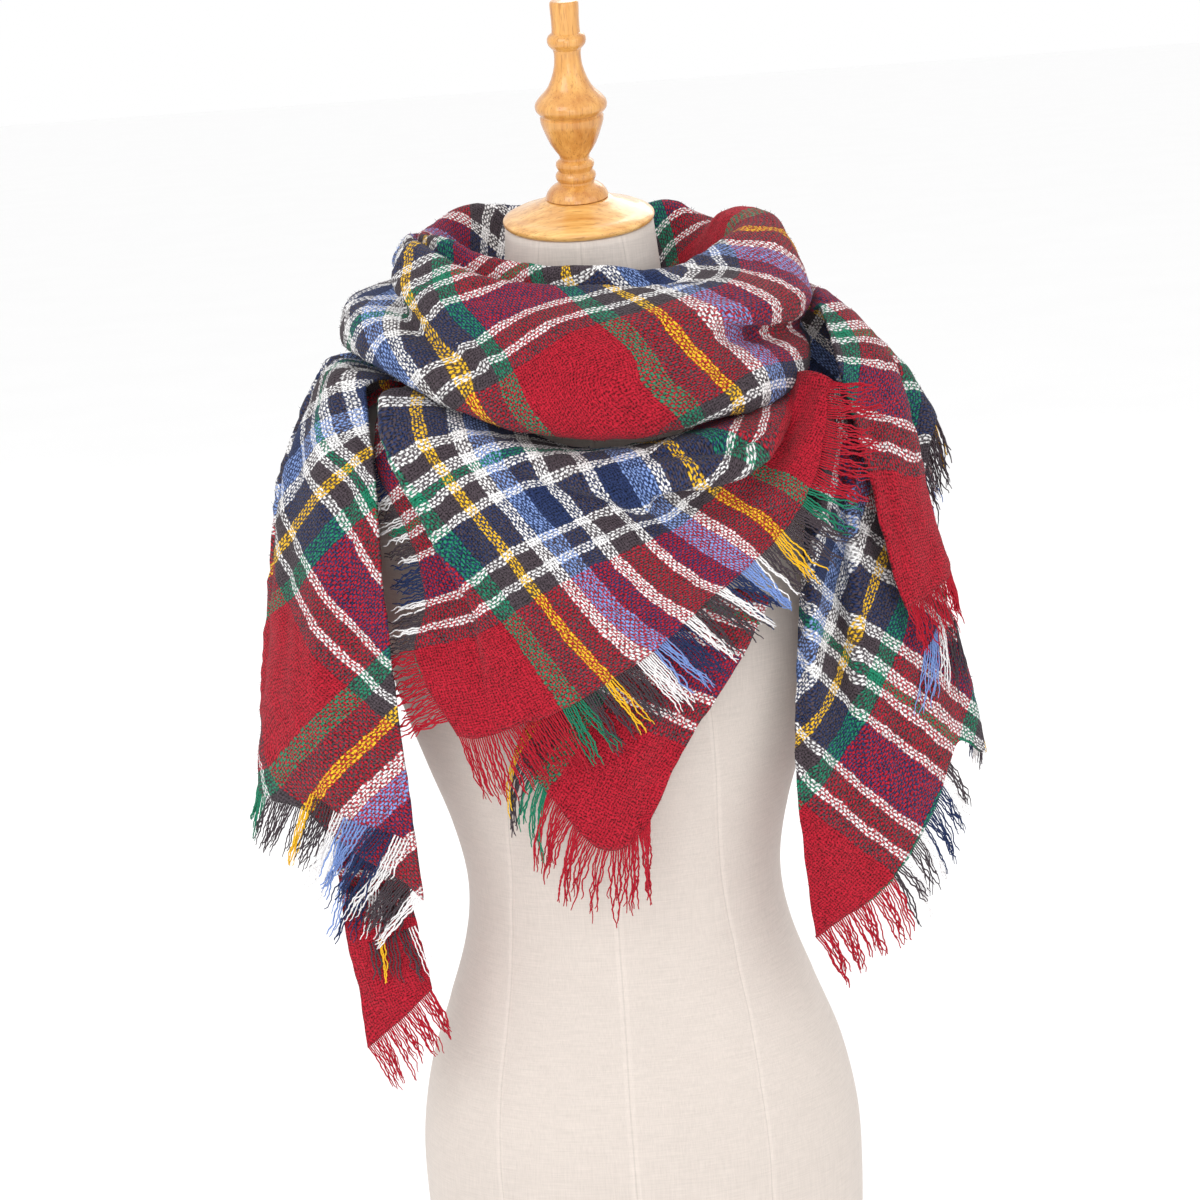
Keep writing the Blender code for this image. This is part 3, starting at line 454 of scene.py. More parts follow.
# A crease along a path of (rib, place) points: its width and height in mm, below 0 for a trough.
CREASES = named("path width height", {
    "cowl": (
        (((6.2, 3.7), (7.1, 3.8), (7.9, 3.7), (8.7, 3.6), (9.5, 3.5), (10.6, 3.4)), 5, -4.5),
        (((11.1, 6.1), (11.6, 6.1), (12.3, 6.1), (13.0, 6.0), (13.8, 6.0)), 6, -7.0),
        (((8.5, 4.6), (9.2, 5.4), (9.7, 6.3), (10.1, 7.2)), 13, 2.6),
        (((7.8, 4.7), (8.3, 5.8), (8.8, 6.7)), 10, -2.2),
        (((10.5, 4.8), (11.1, 4.8), (11.8, 4.8), (12.6, 4.9)), 8, -2.6),
        (((10.4, 5.6), (11.2, 5.5), (12.0, 5.4)), 10, 2.0),
        (((9.6, 7.2), (10.6, 7.0), (11.6, 7.2)), 8, -2.0),
        (((11.3, 2.1), (12.2, 2.2), (13.2, 2.3), (14.2, 2.6)), 7, -2.2),
        (((13.9, 4.8), (14.8, 5.4), (15.9, 5.6)), 8, -3.4),
        (((15.4, 3.5), (16.4, 3.6), (17.8, 3.4)), 9, 2.2),
        (((16.0, 5.1), (17.0, 5.4), (18.2, 5.3)), 8, -3.2),
        (((2.0, 5.3), (3.2, 5.6), (4.4, 5.3)), 8, -3.2),
        (((2.4, 3.4), (3.4, 3.3), (4.6, 3.4)), 8, 2.0),
        (((2.2, 6.9), (3.4, 6.6), (4.6, 6.8)), 8, -2.4),
    ),
    "front_point": (
        (((1.35, 0.8), (1.35, 2.0), (1.4, 3.2), (1.4, 4.4), (1.4, 5.6), (1.4, 6.7)), 6, -6.0),
        (((2.05, 0.6), (2.05, 2.0), (2.1, 3.5), (2.1, 5.0), (2.1, 6.4)), 6, 2.5),
        (((8.6, 4.4), (8.4, 3.9), (8.2, 3.4), (7.9, 3.1)), 6, -5.0),
        (((7.7, 1.3), (8.4, 1.5), (9.1, 1.7), (9.7, 2.0), (10.6, 1.9)), 6, -6.0),
        (((7.8, 2.1), (9.0, 2.3), (9.9, 2.5), (10.7, 2.5)), 6, 4.0),
        (((3.2, 3.4), (3.0, 4.8), (2.9, 6.4)), 9, -2.2),
        (((4.3, 4.0), (4.2, 5.2), (4.3, 6.6)), 10, 1.8),
        (((5.2, 3.8), (5.4, 5.0), (5.6, 6.6)), 9, -2.2),
        (((6.4, 4.0), (6.7, 5.2), (7.0, 6.4)), 9, 2.2),
        (((7.6, 4.8), (8.2, 5.6), (8.8, 6.6)), 8, -2.6),
        (((3.0, 1.2), (4.0, 1.6), (5.0, 1.9), (6.2, 2.0)), 8, -2.4),
    ),
    "front_under": (
        (((1.5, 0.8), (1.6, 2.0), (1.9, 3.6)), 8, -2.4),
        (((3.0, 0.8), (3.1, 2.0), (3.2, 3.6)), 9, 2.6),
        (((4.3, 1.0), (4.3, 2.4), (4.4, 3.6)), 8, -2.2),
    ),
    "left_tail": (
        (((1.5, 1.2), (1.4, 2.5), (1.3, 3.8), (1.2, 5.2)), 10, 3.0),
        (((2.4, 1.4), (2.3, 3.0), (2.3, 4.5), (2.2, 5.7)), 12, -2.6),
        (((3.3, 1.6), (3.2, 3.0), (3.1, 4.8)), 10, 2.6),
        (((0.4, 1.0), (0.4, 2.4), (0.4, 3.8)), 6, 2.0),
        (((4.6, 1.4), (4.6, 3.0), (4.5, 4.8)), 12, 3.0),
        (((5.4, 1.2), (5.4, 3.0), (5.3, 5.2)), 12, 4.0),
        (((5.9, 1.0), (5.9, 3.0), (5.8, 5.2)), 12, -3.0),
        (((6.4, 1.2), (6.5, 3.0), (6.5, 5.2)), 9, 4.0),
        (((7.5, 1.4), (7.5, 3.4), (7.4, 5.2)), 9, 3.4),
    ),
    "left_under": (
        (((0.9, 0.6), (1.0, 2.0), (1.1, 3.5)), 8, -2.4),
    ),
    "right_shoulder": (
        (((0.6, 1.2), (0.5, 3.0), (0.45, 5.2)), 6, -2.2),
        (((1.5, 0.9), (1.5, 2.5), (1.5, 4.8)), 9, 1.8),
        (((2.5, 1.2), (2.5, 3.0), (2.5, 4.8)), 7, -3.0),
        (((4.6, 1.4), (4.6, 3.0), (4.6, 5.4)), 12, -3.4),
        (((5.5, 1.2), (5.5, 3.0), (5.6, 5.4)), 10, 2.4),
        (((6.3, 1.2), (6.3, 3.0), (6.4, 5.4)), 11, -3.6),
        (((7.4, 1.4), (7.4, 3.4), (7.4, 5.2)), 11, -3.4),
        (((8.6, 1.4), (8.5, 3.2), (8.5, 5.0)), 11, -2.8),
    ),
    "right_tail": (
        (((2.1, 1.4), (2.1, 2.6), (2.15, 3.8)), 6, -4.0),
        (((1.1, 1.8), (1.05, 3.4), (1.0, 5.2)), 8, 2.2),
        (((0.5, 2.6), (0.45, 4.2), (0.5, 5.6)), 6, -2.6),
        (((3.5, 1.6), (3.5, 3.4), (3.4, 5.2)), 9, -3.2),
        (((4.5, 2.0), (4.5, 3.6), (4.4, 5.2)), 11, 2.4),
        (((5.5, 1.4), (5.5, 3.4), (5.5, 5.4)), 9, -3.2),
        (((7.4, 1.4), (7.4, 3.4), (7.4, 5.4)), 9, -3.4),
        (((8.5, 1.4), (8.5, 3.4), (8.5, 5.2)), 9, -2.6),
    ),
})

# A fold that lies over the cloth beside it: a steep edge along its path.  Above 0 the cloth on the
# lower side of a path that runs to the viewer's right stands out, and below 0 the upper side does.
FOLDS = named("path width height", {
    "cowl": (
        (((5.6, 3.5), (6.4, 3.55), (7.4, 3.6), (8.4, 3.5), (9.4, 3.4), (10.6, 3.3)), 12, 5.0),
        (((5.7, 4.1), (5.9, 5.0), (6.1, 5.8), (6.6, 6.1), (7.2, 6.2), (8.0, 6.3), (8.7, 6.5)), 13,
         -7.0),
        (((10.9, 5.2), (11.5, 5.6), (12.2, 5.8), (13.2, 5.8)), 12, -5.0),
    ),
    "left_tail": (
        (((4.2, 1.1), (4.3, 2.2), (4.2, 3.4), (4.0, 4.6)), 14, 5.0),
        (((7.0, 1.2), (7.0, 2.6), (6.9, 4.2)), 12, -4.5),
    ),
    "right_tail": (
        (((2.9, 1.2), (2.8, 2.4), (2.7, 3.6), (2.7, 4.6)), 13, 4.0),
    ),
    "right_shoulder": (
        (((5.0, 1.1), (5.1, 2.6), (5.2, 4.4)), 13, -5.0),
        (((8.0, 1.1), (7.9, 2.6), (7.8, 4.4)), 13, 4.5),
    ),
    "front_point": (
        (((7.2, 3.9), (7.45, 3.4), (7.8, 3.0), (8.3, 2.8), (8.9, 2.8), (9.5, 2.9), (10.1, 3.0),
          (10.8, 3.0)), 13, -9.0),
        (((4.6, 2.2), (5.4, 2.4), (6.2, 2.7), (6.8, 3.1), (7.2, 3.6), (7.3, 4.1)), 13, -5.5),
    ),
})
FOLD_EDGE = 2.4             # mm: how soft the steep edge is
FOLD_ROUNDS = 6             # rounds that even out a fold's direction
PATH_STEPS = 8              # points on each straight part of a path

# The cloth's unevenness: shares of the height that the user sets and each wave's size in mm.  Only
# the first is drawn anew for each stretch.
WAVES = ((1.5, 46, 1), (0.7, 19, 0), (0.3, 8, 0))
STRAY, STRAY_SIZE = 1.1, 13  # mm that a point strays every way, and how far such a move reaches


def beside_path(grid, table, path):
    """For each grid point: its distance from a path, the nearest point's number, a share that falls
    to the path's ends, and the path's points."""
    path = np.array(path, dtype=float)
    steps = np.linspace(0, 1, PATH_STEPS)[:, None]
    line = np.array([smooth_grid(table, [rib], [place])[0, 0]
                     for rib, place in np.concatenate([a + (b - a) * steps
                                                       for a, b in zip(path, path[1:])])])
    apart = np.linalg.norm(grid[:, :, None, :] - line, axis=3)
    near = apart.argmin(axis=2)
    ends = np.sin(np.pi * np.clip(near / (len(line) - 1), 0.02, 0.98))**0.5
    return apart.min(axis=2), near, ends, line


def pressed(grid, table, name, settings, seed):
    """The grid with its creases and folds pressed in along its normals, and a soft unevenness."""
    across, down = slopes(grid)
    normal = unit(np.cross(down, across))
    move = np.zeros(grid.shape[:2])
    for crease in CREASES[name]:
        apart, _, ends, _ = beside_path(grid, table, crease.path)
        move += crease.height * ends * np.exp(-(apart / crease.width)**2)
    for fold in FOLDS.get(name, ()):
        apart, near, ends, line = beside_path(grid, table, fold.path)
        ahead = np.gradient(evened(line.copy(), FOLD_ROUNDS), axis=0)[near]
        off = ((grid - line[near]) * unit(np.cross(ahead, normal))).sum(2)
        move += fold.height * ends * np.tanh(off / FOLD_EDGE) * np.exp(-(apart / fold.width)**2)
    soft = np.zeros(grid.shape[:2])
    stray = np.zeros(grid.shape)
    for i, j in np.ndindex(soft.shape):
        place = Vector(grid[i, j])
        soft[i, j] = settings.wave_height * sum(
            share * noise.noise(place / size + Vector((seed * own, 0, 0)))
            for share, size, own in WAVES)
        stray[i, j] = STRAY * noise.noise_vector(place / STRAY_SIZE)
    return grid + stray + normal * (move + soft)[:, :, None]


def stretch_grids(stretch, settings, seed):
    """A stretch's fine grid in mm and its flat coordinates."""
    ring = stretch.name not in HANGING
    table = stretch_table(stretch.name)
    start, end = (1, len(table) - 2) if ring else (0, len(table) - 1)
    last = table.shape[1] - 1
    coarse = smooth_grid(table, np.linspace(start, end, (end - start) * 2 + 1),
                         np.linspace(0, last, last * 2 + 1))
    marks = [(mark.rib * 2, mark.place * 2, mark.warp + 1j * mark.weft)
             for mark in MARKS[stretch.name]]
    laid = lay_flat(coarse, marks, RING_TURN if ring else None)
    ribs = np.linspace(start, end, (end - start) * stretch.across + 1)
    places = np.linspace(0, last, last * stretch.along + 1)
    flat = smooth_grid(np.stack([laid.real, laid.imag], 2), (ribs - start) * 2, places * 2)
    grid = pressed(smooth_grid(table, ribs, places), table, stretch.name, settings, seed)
    if ring:
        grid[-1] = grid[0]
    return grid, flat[:, :, 0] + 1j * flat[:, :, 1]


def choose(*pieces):
    """Select these pieces alone; the first one is active."""
    bpy.ops.object.select_all(action="DESELECT")
    for piece in pieces:
        piece.select_set(True)
    bpy.context.view_layer.objects.active = pieces[0]


def mesh_piece(name, vertices, faces, layer, spots):
    """A smooth piece of these faces, with a spot on its UV map for each corner of each face."""
    mesh = bpy.data.meshes.new(name)
    mesh.from_pydata([tuple(v) for v in vertices], [], faces)
    uv_map = mesh.uv_layers.new(name=layer)
    uv_map.uv.foreach_set("vector", np.array(spots, dtype=np.float32).ravel())
    mesh.shade_smooth()
    piece = bpy.data.objects.new(name, mesh)
    bpy.context.scene.collection.objects.link(piece)
    return piece


def finish_piece(piece, material, slot, *nodes):
    """Give the piece its material.  It rides on the root and hides the CAD nodes that it stands
    for.  The slot is not used."""
    piece.data.materials.append(material)
    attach(piece, "root")
    if nodes:
        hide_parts(*nodes)


def cloth_piece(name, grid, flat, thickness, closed):
    """A thin cloth shell through a grid in mm, with its flat coordinates as its UV map."""
    wide, high = grid.shape[:2]
    rows = wide - 1 if closed else wide
    faces, spots = [], []
    for i in range(wide - 1):
        n = (i + 1) % rows
        for j in range(high - 1):
            faces.append((i * high + j, i * high + j + 1, n * high + j + 1, n * high + j))
            spots += [flat[i, j], flat[i, j + 1], flat[i + 1, j + 1], flat[i + 1, j]]
    piece = mesh_piece(name, (grid[:rows] * MM).reshape(-1, 3), faces, CLOTH_MAP,
                       [(spot.real, spot.imag) for spot in spots])
    choose(piece)
    wall = piece.modifiers.new("Cloth", "SOLIDIFY")
    wall.thickness = thickness
    wall.offset = 0.0
    bpy.ops.object.modifier_apply(modifier=wall.name)
    return piece


# ---------------------------------------------------------------- fringe and nap

# A row of yarns: the strip it stands for, its stretch, how far down that stretch it is rooted (1 is
# the lower edge, 0 the first rib's side), where it starts and ends on that line (0 to 1), which
# threads run out of it and a shift of their colours in mm, their length at its start and its end
# and how uneven that is, the way that the yarns turn to and how far, at both ends, and how late in
# the row that changes.  A row that stands for no strip hangs between two layers or joins two rows.
DOWN = (0, 0, -1)
FRINGES = named("node cloth row start end threads shift length end_length uneven first last turn "
                "end_turn late", (
    ("fringe_front", "front_point", 1, 0.0, 1.0, "warp", 0, 46, 34, 0.17, (0.5, -0.1, -0.85),
     (0.95, 0.0, 0.3), 0.5, 0.8, 3.0),
    ("fringe_front_side", "front_point", 0, 0.30, 0.96, "weft", 0, 22, 48, 0.4, (-0.9, -0.1, -0.3),
     (-0.9, -0.2, -0.6), 0.3, 0.8, 3.0),
    ("fringe_front_under", "front_under", 1, 0.0, 1.0, "warp", 0, 54, 54, 0.3, (0.25, 0.0, -0.95),
     (-0.2, 0.0, -1), 0.9, 0.8, 1.0),
    ("fringe_left", "left_tail", 1, 0.0, 0.42, "warp", 0, 54, 42, 0.25, (-0.3, -0.1, -0.9),
     (-0.3, 0, -0.9), 0.3, 0.3, 1.0),
    ("", "left_tail", 0.94, 0.01, 0.15, "warp", 6, 52, 44, 0.4, (-0.5, -0.3, -0.8),
     (-0.4, -0.3, -0.9), 0.6, 0.6, 1.0),
    ("fringe_left_back", "left_tail", 1, 0.44, 0.86, "warp", 0, 42, 42, 0.2, DOWN, DOWN, 0.4, 0.4,
     1.0),
    ("fringe_left_under", "left_under", 1, 0.0, 1.0, "warp", 0, 40, 40, 0.3, DOWN, DOWN, 0.5, 0.5,
     1.0),
    ("", "left_under", 0.32, 0.0, 1.0, "warp", 150, 42, 38, 0.3, (-0.6, -0.2, -0.8),
     (-0.3, -0.2, -0.9), 0.8, 0.8, 1.0),
    ("", "left_under", 0.48, 0.3, 1.0, "warp", 75, 36, 40, 0.3, (-0.2, -0.2, -0.95),
     (0.4, -0.2, -0.9), 0.8, 0.8, 1.0),
    ("fringe_right_strip", "right_shoulder", 1, 0.0, 0.15, "warp", 0, 38, 38, 0.25, DOWN, DOWN, 0.3,
     0.3, 1.0),
    ("", "right_shoulder", 1, 0.15, 0.29, "warp", 0, 40, 36, 0.3, DOWN, DOWN, 0.6, 0.6, 1.0),
    ("fringe_right_back", "right_shoulder", 1, 0.29, 0.99, "warp", 0, 42, 42, 0.25, DOWN, DOWN, 0.6,
     0.6, 1.0),
    ("", "right_tail", 0.56, 0.37, 0.55, "warp", 100, 48, 46, 0.3, (-0.25, -0.2, -0.95),
     (0.1, -0.2, -0.95), 0.8, 0.8, 1.0),
    ("fringe_right", "right_tail", 1, 0.0, 0.39, "weft", 0, 44, 44, 0.25, DOWN, DOWN, 0.6, 0.6,
     1.0),
    ("fringe_right_side", "right_tail", 1, 0.535, 0.99, "weft", 0, 42, 42, 0.25, DOWN, DOWN, 0.5,
     0.5, 1.0),
))
YARN_SIDES = 4
YARN_STEPS = 18
YARN_SPACE = 0.76           # space from yarn to yarn, as a part of the thread pitch
INNER_YARN_SPACE = 1.1      # the same in a layer that lies further in
INNER_YARN_LIFT = 1.9       # mm that such a layer's yarns stand off the cloth
YARN_ROOT = 1.5             # mm of yarn inside the cloth
YARN_TWIST = 3.0            # mm of yarn for each turn of its twist
YARN_TAPER = (0.75, 1.6)    # where a yarn starts to thin, as a share of it, and how fast
ROOT_BEND = 0.35            # how much of its bend a yarn has at its root
LONGEST = 1.14              # length of the longest yarns, as a share of their row's
LENGTH_SPREAD = 1.6         # how much of it the shortest ones lack, for a row's unevenness of 1
CURL_WAVES = (6.28, 5.1)    # radians in a turn of a yarn's curl: along the row, and off the cloth
CURL_LIFT = 0.6             # how much a yarn curls off the cloth, against along the row
KINK, KINK_WAVE = 0.35, 0.95    # mm that a yarn kinks, and radians of its kinks for each mm
EDGE_STEPS = 4              # grid steps from an edge over which its outward way is measured
THREAD_STEPS = (2, 3)       # steps in from a lower edge, or a side, where the threads' way is read
THREAD_SHARE = 0.55         # how much the threads' own way counts in a row, against its outward way
WAY_ROUNDS = 30             # rounds that even out the yarns' way along a row

# What is drawn by lot for a lock of yarns that cling together, and for each yarn.
BUNCHES = (2, 6)            # how many yarns are in a lock
LOCK_LEAN = (-0.16, 0.16)   # how far it leans along the row, as a share of its length
LOCK_SWING = (-2.0, 2.6)    # mm that it swings off the cloth
GATHER = (-0.1, 0.28)       # how far a yarn is drawn to its lock's middle
CURL = (0.4, 2.2)           # mm
CURL_TURNS = (1.2, 2.8)
RISE = (-0.7, 0.9)          # mm that it rises from its lock
YARN_SIZES = (0.8, 1.15)    # its thickness, as a share of the usual one

FIBRE_LENGTH = (1.2, 3.0)   # mm
FIBRE_PARTS = (0.55, 0.5)   # shares of it below and above a nap fibre's bend
FIBRE_RINGS = (0.17, 0.14)  # radius in mm at its root and its bend
FIBRE_ROOT = 0.35           # how far out it is rooted, as a share of the cloth's thickness
FIBRE_SIDES = 3


def edge_frames(grid, flat, row, threads):
    """Points along an edge, the way its threads run out, the cloth's face and flat coordinates."""
    across, down = slopes(grid)
    flat_across, flat_down = slopes(flat.real if threads == "warp" else flat.imag)
    run = down * flat_across[:, :, None] - across * flat_down[:, :, None]
    from_edge, from_side = THREAD_STEPS
    if row:
        at = round(row * (grid.shape[1] - 1))
        line, inner, spots = grid[:, at], grid[:, at - EDGE_STEPS], flat[:, at]
        run = run[:, at - from_edge]
    else:
        line, inner, spots, run = grid[0], grid[EDGE_STEPS], flat[0], run[from_side]
    along = unit(np.gradient(line, axis=0))
    way = line - inner
    way = unit(way - along * (way * along).sum(1)[:, None])
    run = unit(run)
    run *= np.sign((run * way).sum(1))[:, None]
    way = unit(evened((1 - THREAD_SHARE) * way + THREAD_SHARE * run, WAY_ROUNDS))
    face = unit(np.cross(way, along))
    face *= np.sign((face * line * (1, 1, 0)).sum(1))[:, None]
    reach = np.concatenate([[0], np.cumsum(np.linalg.norm(np.diff(line, axis=0), axis=1))])
    return line, way, face, spots, reach


def ring_points(centre, u, v, radius, sides):
    """Corners of a small ring round a point, in metres."""
    turns = [2 * math.pi * n / sides for n in range(sides)]
    return [(centre + (u * math.cos(turn) + v * math.sin(turn)) * radius) * MM for turn in turns]


def fringe_piece(spec, grid, flat, settings):
    """Yarns that run on out of the cloth's edge, each with its own length, bend and bunch."""
    draw = random.Random(f"{settings.seed}-{spec.cloth}-{spec.row}-{spec.start}")
    line, way, face, spots, reach = edge_frames(grid, flat, spec.row, spec.threads)
    first, last = spec.start * reach[-1], spec.end * reach[-1]
    space = settings.pitch * (YARN_SPACE if spec.node else INNER_YARN_SPACE)
    count = max(4, round((last - first) / space))
    vertices, faces, uvs = [], [], []
    lean = swing = 0.0
    bunch, place = 1, 0
    thin_from, thin = YARN_TAPER
    for k in range(count):
        part = ((k + 0.5) / count)**spec.late
        pull = Vector(spec.first).lerp(Vector(spec.last), part).normalized()
        bend = spec.turn + (spec.end_turn - spec.turn) * part
        at = first + (k + 0.5) * (last - first) / count
        i = min(max(int(np.searchsorted(reach, at)) - 1, 0), len(reach) - 2)
        t = (at - reach[i]) / max(reach[i + 1] - reach[i], TINY)
        root, out, front, spot = (values[i] * (1 - t) + values[i + 1] * t
                                  for values in (line, way, face, spots))
        out, front = Vector(out).normalized(), Vector(front).normalized()
        beside = front.cross(out).normalized()
        colour_at = (spot.real if spec.threads == "warp" else spot.imag) + spec.shift
        place += 1
        if place >= bunch:
            bunch, place = draw.randint(*BUNCHES), 0
            lean = draw.uniform(*LOCK_LEAN)
            swing = draw.uniform(*LOCK_SWING)
        gather = ((bunch - 1) / 2 - place) * settings.pitch * draw.uniform(*GATHER)
        length = spec.length + (spec.end_length - spec.length) * part
        length *= LONGEST - spec.uneven * LENGTH_SPREAD * draw.random()
        curl = draw.uniform(*CURL)
        waves = draw.uniform(*CURL_TURNS)
        phase = draw.uniform(0, 2 * math.pi)
        rise = draw.uniform(*RISE)
        size = settings.yarn / 2 * draw.uniform(*YARN_SIZES)
        centres = []
        point = Vector(root) - out * YARN_ROOT
        if 0 < spec.row < 1:
            point += front * INNER_YARN_LIFT
        for step in range(YARN_STEPS + 1):
            s = step / YARN_STEPS
            bent = bend * (ROOT_BEND + (1 - ROOT_BEND) * s)
            heading = out.lerp(pull, min(1.0, bent)).normalized()
            if step:
                point = point + heading * (length + YARN_ROOT) / YARN_STEPS
            side_wave, lift_wave = (waves * wave * s + phase for wave in CURL_WAVES)
            side = gather * s**0.8 + lean * length * s + curl * s * math.sin(side_wave)
            side += KINK * min(1.0, 3 * s) * math.sin(length * s * KINK_WAVE + 3 * phase)
            lift = (swing * 0.5 + rise) * s + CURL_LIFT * curl * s * math.cos(lift_wave)
            centres.append(point + beside * side + front * lift)
        base = len(vertices)
        for step, centre in enumerate(centres):
            s = step / YARN_STEPS
            ahead = (centres[min(step + 1, YARN_STEPS)] - centres[max(step - 1, 0)]).normalized()
            u = ahead.cross(front).normalized()
            radius = size * (1.0 if s < thin_from else 1.0 - thin * (s - thin_from))
            vertices += ring_points(centre, u, ahead.cross(u), radius, YARN_SIDES)
        for step in range(YARN_STEPS):
            for n in range(YARN_SIDES):
                m = (n + 1) % YARN_SIDES
                a = base + step * YARN_SIDES
                faces.append((a + n, a + m, a + YARN_SIDES + m, a + YARN_SIDES + n))
                low, high = step * length / YARN_STEPS, (step + 1) * length / YARN_STEPS
                twist, more = (side * YARN_TWIST / YARN_SIDES for side in (n, n + 1))
                uvs += [(colour_at, low + twist), (colour_at, low + more),
                        (colour_at, high + more), (colour_at, high + twist)]
        top = base + YARN_STEPS * YARN_SIDES
        faces += [tuple(base + n for n in reversed(range(YARN_SIDES))),
                  tuple(top + n for n in range(YARN_SIDES))]
        uvs += [(colour_at, 0.0)] * YARN_SIDES + [(colour_at, length)] * YARN_SIDES
    name = spec.node or f"inner_layer_{spec.cloth}_{round(spec.row * 100)}"
    return mesh_piece(f"yarns_of_{name}", vertices, faces, CLOTH_MAP, uvs)


def nap_piece(name, grid, flat, settings):
    """Stray fibres that stand up from the cloth's outer face, brushed every way."""
    draw = random.Random(f"{settings.seed}-{name}")
    across, down = slopes(grid)
    normal = np.cross(down, across)
    size = np.linalg.norm(normal, axis=2)
    normal = unit(normal)
    normal *= np.sign((normal * grid * (1, 1, 0)).sum(2).sum())
    shares = np.cumsum(size.ravel())
    low_part, high_part = FIBRE_PARTS
    vertices, faces, uvs = [], [], []
    for _ in range(round(size.sum() / 100 * settings.nap)):
        cell = int(np.searchsorted(shares, draw.random() * shares[-1]))
        i, j = divmod(min(cell, size.size - 1), size.shape[1])
        up = Vector(normal[i, j])
        aside = Vector((draw.uniform(-1, 1), draw.uniform(-1, 1), draw.uniform(-1, 1)))
        root = (Vector(grid[i, j]) + Vector(across[i, j]) * draw.uniform(-0.5, 0.5)
                + Vector(down[i, j]) * draw.uniform(-0.5, 0.5))
        root += up * FIBRE_ROOT * settings.thickness / MM
        way = (0.7 * up + aside).normalized()
        length = draw.uniform(*FIBRE_LENGTH)
        middle = root + way * length * low_part
        tip = middle + (way + 0.8 * aside - 0.3 * up).normalized() * length * high_part
        u = way.orthogonal().normalized()
        v = way.cross(u)
        base = len(vertices)
        for centre, radius in zip((root, middle), FIBRE_RINGS):
            vertices += ring_points(centre, u, v, radius, FIBRE_SIDES)
        vertices.append(tip * MM)
        faces.append((base + 2, base + 1, base))
        for n in range(FIBRE_SIDES):
            m = (n + 1) % FIBRE_SIDES
            faces.append((base + n, base + m, base + 3 + m, base + 3 + n))
            faces.append((base + 3 + n, base + 3 + m, base + 6))
        uvs += [(flat[i, j].real, flat[i, j].imag)] * (3 + 3 * 7)
    return mesh_piece(name, vertices, faces, CLOTH_MAP, uvs)


# ---------------------------------------------------------------- dress form

FORM_RINGS = named("height half_width front back shift", (
    (0, 172, 106, 116, 0), (50, 176, 110, 121, 0), (110, 179, 113, 128, 0),
    (170, 178, 113, 130, 0), (230, 167, 108, 120, 0), (290, 146, 99, 102, 0),
    (340, 130, 92, 88, 0), (385, 125, 90, 83, 0), (435, 133, 96, 83, 0), (490, 150, 110, 88, 0),
    (545, 166, 121, 94, 0), (590, 174, 120, 99, 0), (640, 180, 106, 103, 0),
    (690, 186, 90, 104, 0), (730, 188, 78, 100, 0), (752, 184, 71, 94, 0), (766, 174, 67, 87, 0),
    (777, 156, 63, 80, 0), (787, 132, 59, 73, 0), (798, 106, 56, 66, 1), (810, 84, 55, 60, 2),
    (824, 69, 56, 57, 1), (842, 61, 57, 56, -2), (870, 58, 56, 55, -6),
))
FORM_SQUARENESS = 0.92      # under 1 makes the sections a little fuller than an ellipse
NECK_TILT = math.radians(11)        # the neck's top, cap and finial lean to the front
CAP_CENTRE = (0, -10, 900)          # middle of the neck's top
NECK_TOP_RADIUS = 55.5
NECK_STEPS = 4              # rows of the mesh above the last level ring, up to the leaning top

# Where the panels' seams run: a share of the half width at each height, left, centre and right.
SEAM_ROWS = named("height left centre right", (
    (0, -0.61, -0.04, 0.55), (144, -0.63, -0.043, 0.55), (230, -0.655, -0.05, 0.567),
    (289, -0.68, -0.052, 0.609), (345, -0.715, -0.06, 0.629), (380, -0.715, -0.062, 0.610),
    (440, -0.645, -0.06, 0.55), (480, -0.58, -0.05, 0.505), (560, -0.47, -0.03, 0.42),
    (640, -0.42, -0.02, 0.40), (740, -0.42, 0.0, 0.42), (800, -0.5, 0.0, 0.5),
    (900, -0.6, 0.0, 0.6),
))
PANEL_COLUMNS = 22
FORM_ROW = 5.0              # mm between rows of the form's mesh
SEAM_WIDTH = 2.2            # mm
SEAM_RIDGE = (0.35, 3.2)    # the ridge beside a seam: its share of the seam's depth, and mm away
SEAM_MAP = "SeamDistance"   # a point's distance from the nearest seam and its height, in mm


def squared(share, power=FORM_SQUARENESS):
    """A share from -1 to 1 on the form's full sections."""
    return math.copysign(abs(share)**power, share)


def seam_turns(height):
    """Angles of the eight seams round a level section, from the right side over the back."""
    heights, *columns = zip(*SEAM_ROWS)
    left, centre, right = (np.interp(height, heights, column) for column in columns)

    def turn(share):
        return math.acos(squared(share, 1 / FORM_SQUARENESS))

    whole = 2 * math.pi
    return [0.0, turn(right), math.pi / 2, math.pi - turn(-left), math.pi,
            whole - turn(left), whole - turn(centre), whole - turn(right), whole]


